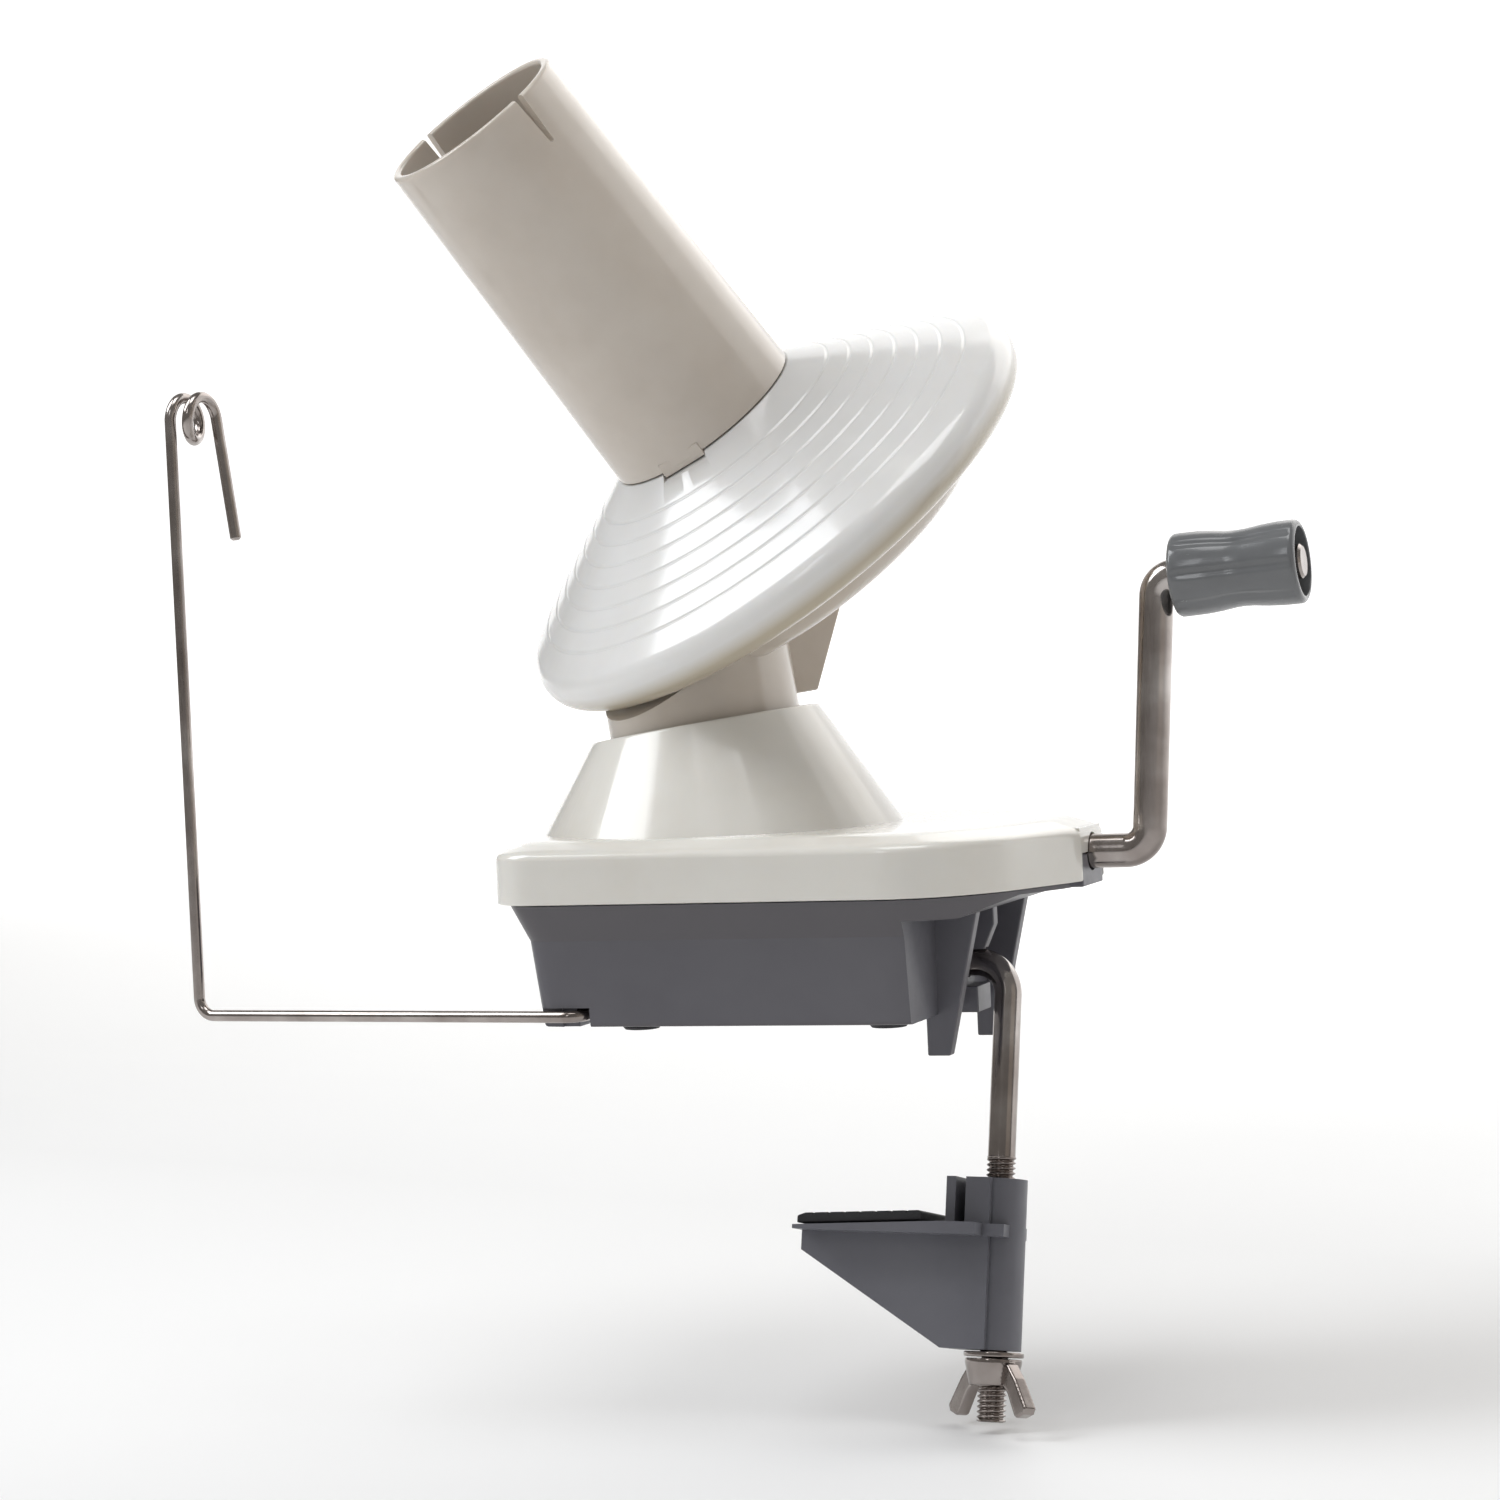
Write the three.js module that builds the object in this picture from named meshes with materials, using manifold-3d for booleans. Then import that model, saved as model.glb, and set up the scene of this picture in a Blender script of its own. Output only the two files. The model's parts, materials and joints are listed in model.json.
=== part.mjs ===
// Hand-cranked ball winder with a table clamp, as a three.js scene graph.
// Millimetres, +Z up, +X towards the crank, -Y towards the side the yarn guide is hooked in.
// The origin is on the base underside, where the axis of the turning head meets it.
import * as THREE from 'three';
import { mergeVertices } from 'three/addons/utils/BufferGeometryUtils.js';
import Module from 'manifold-3d';

const wasm = await Module();
wasm.setup();

// ---------------------------------------------------------------- driving dimensions
const DEG = Math.PI / 180;
const GAP = 0.3; // running gap between pieces that touch

const BASE = {
  halfWidth: 44, left: -45, endX: 72, endHalf: 8, bodyEndX: 44.5,
  floorTop: 4, wall: 2, creaseZ: 17.3, shelfZ: 20, rimZ: 24.3, top: 36.8,
};
const COVER = { bottom: 24.6, edge: 33.6, wall: 2, footR: 38, footX: -4.8, footZ: 34.4 };
const HEAD_TILT = 8; // main axis leans towards the yarn guide
const PEDESTAL = { topH: 58.2, topR: 23.3, holeR: 20.1 };
const NECK = { r: 19.5, bottomH: 53 };
const SPINDLE = { apexH: 139.2, tilt: 34, yaw: -124 }; // tube axis, in the head's own frame
const DISH = { floorZ: -60.8, floorR: 41.2, topZ: -49, topR: 50, wall: 2, clipX: 6 };
const FLANGE = { seatZ: -23, seatR: 21.6, slope: 28.5, rimR: 54.7, rimZ: -47.4, roll: 5.6, wall: 2 };
const TUBE = { bottomZ: -22.7, topZ: 54.9, bottomR: 21.4, topR: 19.5, wall: 1.9, slit: 11 };
const CRANK = {
  z: 30, r: 3.4, startX: 2.6, elbowX: 83.4, lean: 4, throw: 53.1, bends: [5, 4], gripGap: 3.8,
};
const GRIP = { length: 25.2, r: 8.3, waist: 7.5 };
const CROWN = { teeth: 36, pinion: 12, cone: 21.5, face: 4.5 }; // crank gear and drive pinion
const PLANET = { sun: 12, teeth: 30, cone: 55, face: 6 }; // fixed gear and tube gear
const GUIDE = {
  r: 1.25, z: 2.2, farZ: 1.05, legX: -23, legY: -38.2, x: -115.8, y: -19.8, loopZ: 125, loopR: 4.4,
};
const CLAMP = {
  x: 53.95, lean: 1.2, swing: -12.7, r: 2.75, threadR: 2.9, legZ: 8.4, bend: 6.5, endZ: -90.3,
};
const JAW = { topZ: -43.1, plateZ: -52.2, bottomZ: -76.4, tipX: -38.4, bossR: 5.35 };

const IVORY = { color: 0xf1ede0, roughness: 0.22, metalness: 0 };
const GREY = { color: 0x66686f, roughness: 0.42, metalness: 0 };
const STEEL = { color: 0xb4aca4, roughness: 0.2, metalness: 1 };
const NYLON = { color: 0xe6e2d6, roughness: 0.45, metalness: 0 };
const BRASS = { color: 0xb5924c, roughness: 0.3, metalness: 1 };
const RUBBER = { color: 0x1d1d1f, roughness: 0.8, metalness: 0 };

// ---------------------------------------------------------------- geometry helpers
/** Merges shared vertices, drops empty triangles and turns the faces outwards. */
function tidy(geometry) {
  const bare = geometry.clone();
  bare.deleteAttribute('normal');
  bare.deleteAttribute('uv');
  const merged = mergeVertices(bare, 1e-4);
  const index = merged.index.array;
  const p = merged.attributes.position;
  const keep = [];
  let volume = 0;
  const [a, b, c] = [new THREE.Vector3(), new THREE.Vector3(), new THREE.Vector3()];
  for (let i = 0; i < index.length; i += 3) {
    const [i0, i1, i2] = [index[i], index[i + 1], index[i + 2]];
    if (i0 === i1 || i1 === i2 || i2 === i0) continue;
    keep.push(i0, i1, i2);
    a.fromBufferAttribute(p, i0);
    b.fromBufferAttribute(p, i1);
    c.fromBufferAttribute(p, i2);
    volume += a.dot(b.cross(c));
  }
  if (volume < 0) keep.reverse();
  merged.setIndex(keep);
  return merged;
}

/** Turns a closed three.js geometry into a manifold solid. */
function solid(geometry) {
  const g = tidy(geometry);
  const vertProperties = new Float32Array(g.attributes.position.array);
  const triVerts = new Uint32Array(g.index.array);
  return new wasm.Manifold(new wasm.Mesh({ numProp: 3, vertProperties, triVerts }));
}

/** Turns a manifold solid back into a three.js geometry. */
function geometryOf(body) {
  const mesh = body.getMesh();
  const g = new THREE.BufferGeometry();
  g.setAttribute('position', new THREE.Float32BufferAttribute(mesh.vertProperties, 3));
  g.setIndex(Array.from(mesh.triVerts));
  return g;
}

const union = (...parts) => parts.reduce((sum, part) => sum.add(part));
const cut = (body, ...tools) => tools.reduce((rest, tool) => rest.subtract(tool), body);

/** Solid of revolution about Z from [r, z] points; it starts and ends on the axis or closes. */
function lathe(points, segments = 32) {
  const profile = points.map(([r, z]) => new THREE.Vector2(r, z));
  const last = profile[profile.length - 1];
  if (profile[0].x > 0 || last.x > 0) profile.push(profile[0].clone());
  return tidy(new THREE.LatheGeometry(profile, segments).rotateX(Math.PI / 2));
}

const disc = (r, z0, z1, segments = 32) => lathe([[0, z0], [r, z0], [r, z1], [0, z1]], segments);
const ring = (r0, r1, z0, z1, segments = 32) =>
  lathe([[r0, z0], [r1, z0], [r1, z1], [r0, z1]], segments);

const box = (x0, x1, y0, y1, z0, z1) => new THREE.BoxGeometry(x1 - x0, y1 - y0, z1 - z0)
  .translate((x0 + x1) / 2, (y0 + y1) / 2, (z0 + z1) / 2);

/** Lays a geometry built about Z along +X, with its own z becoming x. */
const alongX = (geometry, x = 0, y = 0, z = 0) => geometry.rotateY(Math.PI / 2).translate(x, y, z);

/** Extrudes an outline of [x, z] points through a thickness in Y. */
function slabXZ(points, y0, y1) {
  const shape = new THREE.Shape(points.map(([x, z]) => new THREE.Vector2(x, z)));
  const slab = new THREE.ExtrudeGeometry(shape, { depth: y1 - y0, bevelEnabled: false });
  return slab.rotateX(Math.PI / 2).translate(0, y1, 0);
}

/** Closed skin through rings with the same number of points, fanned at both ends. */
function loft(rings) {
  const count = rings[0].length;
  const vertices = rings.flat().flatMap((v) => [v.x, v.y, v.z]);
  const index = [];
  for (let k = 0; k + 1 < rings.length; k++) {
    for (let i = 0; i < count; i++) {
      const [a, b] = [k * count + i, k * count + (i + 1) % count];
      index.push(a, b, b + count, a, b + count, a + count);
    }
  }
  for (const [k, flip] of [[0, true], [rings.length - 1, false]]) {
    const centre = rings[k].reduce((sum, v) => sum.add(v), new THREE.Vector3()).divideScalar(count);
    const hub = vertices.length / 3;
    vertices.push(centre.x, centre.y, centre.z);
    for (let i = 0; i < count; i++) {
      const [a, b] = [k * count + i, k * count + (i + 1) % count];
      index.push(...(flip ? [b, a, hub] : [a, b, hub]));
    }
  }
  const g = new THREE.BufferGeometry();
  g.setAttribute('position', new THREE.Float32BufferAttribute(vertices, 3));
  g.setIndex(index);
  return tidy(g);
}

/** A path of straight runs joined by round bends, sampled only where it turns. */
class WirePath extends THREE.Curve {
  constructor(corners, bends, perBend = 5) {
    super();
    this.points = [];
    this.tangents = [];
    const direction = (a, b) => b.clone().sub(a).normalize();
    const add = (point, tangent) => {
      this.points.push(point);
      this.tangents.push(tangent.clone());
    };
    add(corners[0], direction(corners[0], corners[1]));
    for (let i = 1; i + 1 < corners.length; i++) {
      const into = direction(corners[i - 1], corners[i]);
      const out = direction(corners[i], corners[i + 1]);
      const turn = into.angleTo(out);
      const run = bends[i - 1] * Math.tan(turn / 2);
      const inward = out.clone().sub(into.clone().multiplyScalar(into.dot(out))).normalize();
      const start = corners[i].clone().addScaledVector(into, -run);
      const centre = start.clone().addScaledVector(inward, bends[i - 1]);
      for (let k = 0; k <= perBend; k++) {
        const angle = (turn * k) / perBend;
        const point = centre.clone()
          .addScaledVector(inward, -bends[i - 1] * Math.cos(angle))
          .addScaledVector(into, bends[i - 1] * Math.sin(angle));
        const tangent = into.clone().multiplyScalar(Math.cos(angle))
          .addScaledVector(inward, Math.sin(angle));
        add(point, tangent);
      }
    }
    const end = corners.length - 1;
    add(corners[end], direction(corners[end - 1], corners[end]));
  }

  /** Adds more samples, as [point, tangent] pairs, after the last one. */
  extend(samples) {
    for (const [point, tangent] of samples) {
      this.points.push(point);
      this.tangents.push(tangent.clone().normalize());
    }
    return this;
  }

  at(list, u) {
    const place = Math.min(u * (list.length - 1), list.length - 1);
    const i = Math.min(Math.floor(place), list.length - 2);
    return list[i].clone().lerp(list[i + 1], place - i);
  }

  getPoint(t) {
    return this.at(this.points, t);
  }

  getPointAt(u) {
    return this.at(this.points, u);
  }

  getTangentAt(u) {
    return this.at(this.tangents, u).normalize();
  }

  getTangent(u) {
    return this.getTangentAt(u);
  }
}

/** Round wire of radius r along a WirePath. */
function wire(path, r, sides = 12) {
  const shape = new THREE.Shape();
  for (let i = 0; i < sides; i++) {
    const angle = (2 * Math.PI * (i + 0.5)) / sides;
    const [x, y] = [r * Math.cos(angle), r * Math.sin(angle)];
    if (i === 0) shape.moveTo(x, y);
    else shape.lineTo(x, y);
  }
  shape.closePath();
  const steps = path.points.length - 1;
  return new THREE.ExtrudeGeometry(shape, { steps, extrudePath: path, bevelEnabled: false });
}

/** Round-headed screw about Z, head at headZ, tip at tipZ. */
function screw(headZ, tipZ, r = 1.45, headR = 2.8, headH = 1.8) {
  const side = Math.sign(tipZ - headZ);
  return lathe([
    [0, headZ], [headR * 0.8, headZ], [headR, headZ + side * headH * 0.4],
    [headR, headZ + side * headH], [r, headZ + side * headH], [r, tipZ], [0, tipZ],
  ], 12);
}

/**
 * Bevel gear about +Z with its cone apex at the origin and its teeth between cone distances
 * cone - face and cone. The teeth narrow towards the apex, as on a real bevel gear.
 */
function bevelTeeth(teeth, mate, shaftAngle, cone, face, phase) {
  const pitchAngle = coneAngle(teeth, mate, shaftAngle);
  const module = (2 * cone * Math.sin(pitchAngle)) / teeth;
  const [addendum, dedendum, rim] = [0.8 * module, 1.12 * module, 2.2];
  const [tipHalf, rootHalf] = [0.12, 0.33]; // share of the tooth pitch
  const loop = (distance, level) => {
    const scale = distance / cone;
    const points = [];
    for (let i = 0; i < teeth; i++) {
      const marks = [[-rootHalf, false], [-tipHalf, true], [tipHalf, true], [rootHalf, false]];
      for (const [share, tip] of marks) {
        const tooth = tip ? addendum : -dedendum;
        const e = scale * (level === 'tooth' ? tooth : -dedendum - rim);
        const angle = ((i + share) * 2 * Math.PI) / teeth + phase;
        const r = distance * Math.sin(pitchAngle) + e * Math.cos(pitchAngle);
        const z = distance * Math.cos(pitchAngle) - e * Math.sin(pitchAngle);
        points.push(new THREE.Vector3(r * Math.cos(angle), r * Math.sin(angle), z));
      }
    }
    return points;
  };
  const inner = cone - face;
  const loops = [loop(inner, 'rim'), loop(inner, 'tooth'), loop(cone, 'tooth'), loop(cone, 'rim')];
  const count = loops[0].length;
  const vertices = loops.flat().flatMap((v) => [v.x, v.y, v.z]);
  const index = [];
  for (let k = 0; k < 4; k++) {
    for (let i = 0; i < count; i++) {
      const next = ((k + 1) % 4) * count;
      const [a, b] = [k * count + i, k * count + (i + 1) % count];
      const [c, d] = [next + (i + 1) % count, next + i];
      index.push(a, b, c, a, c, d);
    }
  }
  const g = new THREE.BufferGeometry();
  g.setAttribute('position', new THREE.Float32BufferAttribute(vertices, 3));
  g.setIndex(index);
  return tidy(g);
}

/** Pitch cone half-angle of a bevel gear with this many teeth. */
const coneAngle = (teeth, mate, shaftAngle) =>
  Math.atan2(Math.sin(shaftAngle), mate / teeth + Math.cos(shaftAngle));

// ---------------------------------------------------------------- scene graph
const winder = new THREE.Group();
const mainAxis = new THREE.Group(); // local +Z runs up the axis of the turning head
mainAxis.rotation.y = -HEAD_TILT * DEG;
const head = new THREE.Group(); // the head's own frame: its +X side is where the tube leans
head.rotation.z = SPINDLE.yaw * DEG;
const spindle = new THREE.Group(); // local +Z runs up the winding tube
spindle.position.z = SPINDLE.apexH;
spindle.rotation.y = SPINDLE.tilt * DEG;
const clamp = new THREE.Group(); // from the rod's corner, local +Z runs up the clamp screw
clamp.position.set(CLAMP.x, 0, CLAMP.legZ);
clamp.rotation.set(CLAMP.swing * DEG, CLAMP.lean * DEG, 0);
winder.add(mainAxis, clamp);
mainAxis.add(head);
head.add(spindle);

function add(name, geometry, finish, parent = winder) {
  const material = new THREE.MeshStandardMaterial(finish);
  const mesh = new THREE.Mesh(geometry, material);
  mesh.name = name;
  parent.add(mesh);
  return mesh;
}

// ---------------------------------------------------------------- base outline
/** Half of the base outline, from the middle of the left end to the crank end. */
function halfOutline() {
  const { halfWidth: w, left, endX, endHalf } = BASE;
  const bend = (a, b, c, n) => new THREE.QuadraticBezierCurve(...[a, b, c]
    .map(([x, y]) => new THREE.Vector2(x, y))).getPoints(n);
  const leftEnd = bend([left, 0], [left + 0.2, 0.45 * w], [left + 4, 0.73 * w], 4);
  const corner = bend([left + 4, 0.73 * w], [left + 6, w], [left + 15, w], 5);
  const taper = bend([endX - 32, w], [endX - 12, w], [endX - 1, endHalf + 2.6], 9);
  const end = [new THREE.Vector2(endX, endHalf)];
  return [...leftEnd, ...corner.slice(1), ...taper, ...end];
}

/** Closed base outline, moved inwards by inset, at height z. */
function outline(inset, z) {
  const half = halfOutline();
  const far = half.slice(1).map((p) => new THREE.Vector2(p.x, p.y));
  const near = [...half].reverse().map((p) => new THREE.Vector2(p.x, -p.y));
  const loop = [...near, ...far];
  const count = loop.length;
  return loop.map((p, i) => {
    const before = loop[(i + count - 1) % count];
    const after = loop[(i + 1) % count];
    const normals = [[before, p], [p, after]].map(([a, b]) =>
      new THREE.Vector2(b.y - a.y, a.x - b.x).normalize()); // towards the inside
    const mitre = normals[0].clone().add(normals[1]).normalize();
    const reach = inset / Math.max(mitre.dot(normals[0]), 0.5);
    return new THREE.Vector3(p.x + mitre.x * reach, p.y + mitre.y * reach, z);
  });
}

/** Draws the left end of an outline in by this much, for the lower case. */
const tuck = (loop, by) => loop.map((p) => p.setX(p.x + by * Math.max(0, (-20 - p.x) / 25)));

// ---------------------------------------------------------------- base casings
const CASE_SCREWS = [[-32.5, 20.5], [-32.5, -20.5], [29, 26], [29, -26]];
const FEET = [[-13, 30], [-13, -30], [38, 29.5], [38, -29.5]];
const SOCKET = { x: 33, r: 5.4 };
const POST_PIN_H = 33; // cross pin that keeps the post in its tower
const BEARING = { x0: 24.5, x1: 29.5, half: 9, r: 5.6 };
const END_BEARING = { x0: 64, half: 7.4, r: 3.8 };

function bottomCase() {
  const b = BASE;
  const insets = [7.5, 5.5, 2.4];
  const outer = loft([tuck(outline(insets[0], 0), 1.7), tuck(outline(insets[1], b.creaseZ), 1.1),
    outline(insets[2], b.rimZ)]);
  const inner = loft([
    tuck(outline(insets[0] + b.wall, b.floorTop), 1.7),
    tuck(outline(insets[1] + b.wall, b.creaseZ), 1.1),
    outline(insets[2] + b.wall, b.rimZ + 1),
  ]);
  const under = (x, lift) => slabXZ([[x, -5], [x, b.shelfZ + lift], [54, b.shelfZ + lift],
    [63, 23.4 + lift], [90, 23.4 + lift], [90, -5]], -60, 60);
  const beyond = under(b.bodyEndX, 0);
  const hollow = cut(solid(inner), solid(under(b.bodyEndX - b.wall, b.wall)));
  let body = cut(solid(outer), solid(beyond), hollow);
  const posts = CASE_SCREWS.map(([x, y]) =>
    solid(disc(4, 2, b.rimZ, 16).translate(x, y, 0)).intersect(solid(outer)));
  const fins = [-1, 1].map((s) => solid(slabXZ(
    [[42, -8.1], [46.6, -8.1], [53.4, b.shelfZ + 1], [42, b.shelfZ + 1]],
    s * 17 - 1.5, s * 17 + 1.5,
  )));
  const rib = slabXZ([[43, 6], [47, 6], [51.5, 16], [51.5, b.shelfZ + 1], [43, b.shelfZ + 1]], -1.5, 1.5);
  const heel = box(43, 48.5, -4.5, 4.5, -1.2, 4);
  const socket = alongX(disc(SOCKET.r, SOCKET.x, b.bodyEndX + 1, 20), 0, 0, CLAMP.legZ);
  const socketFoot = box(SOCKET.x, b.bodyEndX, -3, 3, 2, CLAMP.legZ);
  const bearing = box(BEARING.x0, BEARING.x1, -BEARING.half, BEARING.half, 2, CRANK.z - GAP / 2);
  const saddle = box(END_BEARING.x0, b.endX - 0.2, -END_BEARING.half, END_BEARING.half,
    23.5, CRANK.z - GAP / 2);
  body = union(body, ...posts, ...fins, solid(rib), solid(heel), solid(socket), solid(socketFoot),
    solid(bearing), solid(saddle), solid(postTower()), guidePad().intersect(solid(outer)));
  const crankBore = alongX(disc(END_BEARING.r, b.endX - 20, b.endX + 5, 24), 0, 0, CRANK.z);
  const bushSeat = alongX(disc(BEARING.r, BEARING.x0 - 1, BEARING.x1 + 1, 24), 0, 0, CRANK.z);
  const socketBore = alongX(disc(CLAMP.r + 0.3, SOCKET.x - 2, 60, 20), 0, 0, CLAMP.legZ);
  const screwHoles = CASE_SCREWS.flatMap(([x, y]) => [
    solid(disc(1.8, -1, 30, 12).translate(x, y, 0)), solid(disc(3.1, -1, 3, 16).translate(x, y, 0))]);
  const footPockets = FEET.map(([x, y]) => solid(disc(4.1, -1, 1.5, 20).translate(x, y, 0)));
  const postBore = solid(disc(3.3, 25, 60, 20).rotateY(-HEAD_TILT * DEG));
  const pinBore = disc(1.3, -10, 10, 12).rotateX(Math.PI / 2).translate(0, 0, POST_PIN_H);
  return cut(body, solid(crankBore), solid(bushSeat), solid(socketBore), ...screwHoles,
    ...footPockets, postBore, solid(pinBore.rotateY(-HEAD_TILT * DEG)), ...guideGrooves());
}

/** Tower that carries the fixed post, shaped to clear the crank gear in front of it. */
function postTower() {
  const h = 40; // height of its top along the main axis
  const top = (x) => (h + x * Math.sin(HEAD_TILT * DEG)) / Math.cos(HEAD_TILT * DEG);
  return slabXZ([[-15, 2], [-4.2, 2], [-4.2, 18.5], [0.9, 18.5], [0.9, top(0.9)], [-12, top(-12)],
    [-15, 30]], -6.2, 6.2);
}

const guideAngle = Math.atan2(GUIDE.y - GUIDE.legY, GUIDE.x - GUIDE.legX);
const alongGuide = (g) => solid(g.rotateZ(guideAngle).translate(GUIDE.legX, GUIDE.legY, 0));

/** Thicker floor over the channel of the guide wire's leg. */
const guidePad = () => solid(box(GUIDE.legX - 4, GUIDE.legX + 4, -40, -19, 2, 5.6));

/** Channel for the guide wire, with a pair of snap lips under its leg. */
function guideGrooves() {
  const g = GUIDE;
  const top = g.z + g.r + 0.35;
  const length = Math.hypot(g.x - g.legX, g.y - g.legY);
  const arm = alongGuide(box(-2, length, -1.7, 1.7, -1, top));
  const leg = solid(box(g.legX - 1.7, g.legX + 1.7, -30, -20.5, -1, top));
  const mouth = solid(box(g.legX - 1.12, g.legX + 1.12, -50, -29, -1, top));
  const tunnel = solid(box(g.legX - 1.7, g.legX + 1.7, -50, -29, SNAP_LIP, top));
  const bend = solid(box(g.legX - 4.4, g.legX + 1.7, -50, g.legY + 3.4, -1, top));
  return [arm, leg, mouth, tunnel, bend];
}
const SNAP_LIP = 1.1; // thickness of the lips below the guide's leg

function topCase() {
  const { bottom, edge, wall, footR, footX, footZ } = COVER;
  const outerPlate = loft([outline(0, bottom), outline(0, edge), outline(0.8, edge + 1.1),
    outline(4.5, BASE.top - 0.9), outline(6.3, BASE.top)]);
  const innerPlate = loft([outline(wall, bottom - 1), outline(wall, edge - 1),
    outline(4.8, BASE.top - 0.9 - wall), outline(6.3, BASE.top - wall)]);
  const p = PEDESTAL;
  const cone = (footRadius, z0, topRadius, h) => {
    const [foot, top] = [[], []];
    const count = 56;
    const lean = new THREE.Euler(0, -HEAD_TILT * DEG, 0);
    for (let i = 0; i < count; i++) {
      const angle = (2 * Math.PI * i) / count;
      const [c, s] = [Math.cos(angle), Math.sin(angle)];
      foot.push(new THREE.Vector3(footX + footRadius * c, footRadius * s, z0));
      top.push(new THREE.Vector3(topRadius * c, topRadius * s, h).applyEuler(lean));
    }
    return loft([foot, top]);
  };
  const outer = cone(footR, footZ, p.topR, p.topH);
  const inner = cone(footR - 2.2, footZ - 1.2, p.topR - 2.2, p.topH - 2.4);
  const keep = union(solid(outerPlate), solid(outer));
  let body = cut(keep, solid(innerPlate), solid(inner));
  const screwPosts = CASE_SCREWS.map(([x, y]) =>
    solid(disc(3.6, bottom, BASE.top - 1.4, 16).translate(x, y, 0)));
  const half = BEARING.half;
  const bearing = box(BEARING.x0, BEARING.x1, -half, half, CRANK.z + GAP / 2, BASE.top - 1);
  const endBlock = box(END_BEARING.x0, BASE.endX - 0.5, -END_BEARING.half - 0.3,
    END_BEARING.half + 0.3, CRANK.z + GAP / 2, BASE.top - 1.5);
  body = union(body, ...screwPosts, solid(bearing), solid(endBlock).intersect(solid(outerPlate)));
  const neckHole = disc(p.holeR, 50, 70, 48).rotateY(-HEAD_TILT * DEG);
  const saddleGap = box(60, 80, -END_BEARING.half - 0.3, END_BEARING.half + 0.3, 20,
    CRANK.z + GAP / 2);
  const crankBore = alongX(disc(END_BEARING.r, 50, 80, 24), 0, 0, CRANK.z);
  const bushSeat = alongX(disc(BEARING.r, BEARING.x0 - 1, BEARING.x1 + 1, 24), 0, 0, CRANK.z);
  const pilots = CASE_SCREWS.map(([x, y]) => solid(disc(1.75, 20, 31.5, 12).translate(x, y, 0)));
  const collarRoom = alongX(disc(5.6, 29.4, 32.4, 24), 0, 0, CRANK.z);
  return cut(body, solid(neckHole), solid(saddleGap), solid(crankBore), solid(bushSeat),
    solid(collarRoom), ...pilots);
}

add('bottom_case', geometryOf(bottomCase()), GREY);
add('top_case', geometryOf(topCase()), IVORY);
CASE_SCREWS.forEach(([x, y], i) => add(`case_screw_${i + 1}`, screw(0.7, 30).translate(x, y, 0), STEEL));
FEET.forEach(([x, y], i) => {
  const foot = lathe([[0, -1], [3.4, -1], [3.8, -0.5], [3.8, 1.2], [0, 1.2]], 20);
  add(`rubber_foot_${i + 1}`, foot.translate(x, y, 0), RUBBER);
});

// ---------------------------------------------------------------- yarn guide
function guidePath() {
  const g = GUIDE;
  const v = (x, y, z) => new THREE.Vector3(x, y, z);
  const corners = [v(g.legX, -21.5, g.z), v(g.legX, g.legY, g.z), v(g.x, g.y, g.farZ),
    v(g.x, g.y, g.loopZ)];
  const path = new WirePath(corners, [3, 3.6], 4);
  const pitch = 4.07;
  const samples = [];
  for (let a = 30; a <= 540; a += 30) {
    const angle = a * DEG;
    const point = v(g.x + (pitch * a) / 360, g.y + g.loopR * (1 - Math.cos(angle)),
      g.loopZ + g.loopR * Math.sin(angle));
    const tangent = v(pitch / (2 * Math.PI), g.loopR * Math.sin(angle), g.loopR * Math.cos(angle));
    samples.push([point, tangent]);
  }
  const [last] = samples[samples.length - 1];
  const tip = last.clone().add(v(3.2, 0, -25.5));
  const down = tip.clone().sub(last).normalize();
  samples.push([last.clone().addScaledVector(down, 1.6), down], [tip, down]);
  return path.extend(samples);
}
add('yarn_guide', tidy(wire(guidePath(), GUIDE.r, 8)), STEEL);

// ---------------------------------------------------------------- crank
const crankLean = CRANK.lean * DEG;
const gripAxis = new THREE.Vector3(Math.cos(crankLean), 0, Math.sin(crankLean));
const elbow = new THREE.Vector3(CRANK.elbowX, 0, CRANK.z);
const knee = elbow.clone()
  .add(new THREE.Vector3(Math.sin(crankLean), 0, Math.cos(crankLean)).multiplyScalar(CRANK.throw));
const gripStart = CRANK.gripGap; // from the arm's centre line to the grip
const rodEnd = knee.clone().addScaledVector(gripAxis, gripStart + GRIP.length + 0.2);
const crankPath = new WirePath(
  [new THREE.Vector3(CRANK.startX, 0, CRANK.z), elbow, knee, rodEnd], CRANK.bends, 6);
const pinHole = disc(1.3, CRANK.z - 8, CRANK.z + 8, 12).translate(12, 0, 0);
add('crank_rod', geometryOf(cut(solid(wire(crankPath, CRANK.r, 16)), solid(pinHole))), STEEL);

const crankShaftAngle = (90 + HEAD_TILT) * DEG;
const crownApexX = -CRANK.z * Math.tan(HEAD_TILT * DEG);
function crankGear() {
  const { teeth, pinion, cone, face } = CROWN;
  const ringGear = bevelTeeth(teeth, pinion, crankShaftAngle, cone, face, 0);
  const web = ring(3.8, 18.6, 6.3, 8.9, 40);
  const hub = ring(3.8, 6.5, 8, 19.5, 24);
  const body = union(solid(ringGear), solid(web), solid(hub));
  const lighten = [0, 1, 2, 3, 4].map((i) => {
    const angle = (i * 2 * Math.PI) / 5;
    return solid(disc(2.6, 4, 12, 12).translate(11.5 * Math.cos(angle), 11.5 * Math.sin(angle), 0));
  });
  const cross = disc(1.3, -10, 10, 12).rotateY(-Math.PI / 2).translate(0, 0, 12 - crownApexX);
  return cut(body, ...lighten, solid(cross));
}
add('crank_gear', alongX(geometryOf(crankGear()), crownApexX, 0, CRANK.z), NYLON);
add('gear_pin', disc(1, -6, 6, 12).translate(12, 0, CRANK.z), STEEL);
add('crank_bush', alongX(lathe([[3.8, 24.2], [5.3, 24.2], [5.3, 29.8], [3.8, 29.8]], 24), 0, 0, CRANK.z),
  BRASS);
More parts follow.
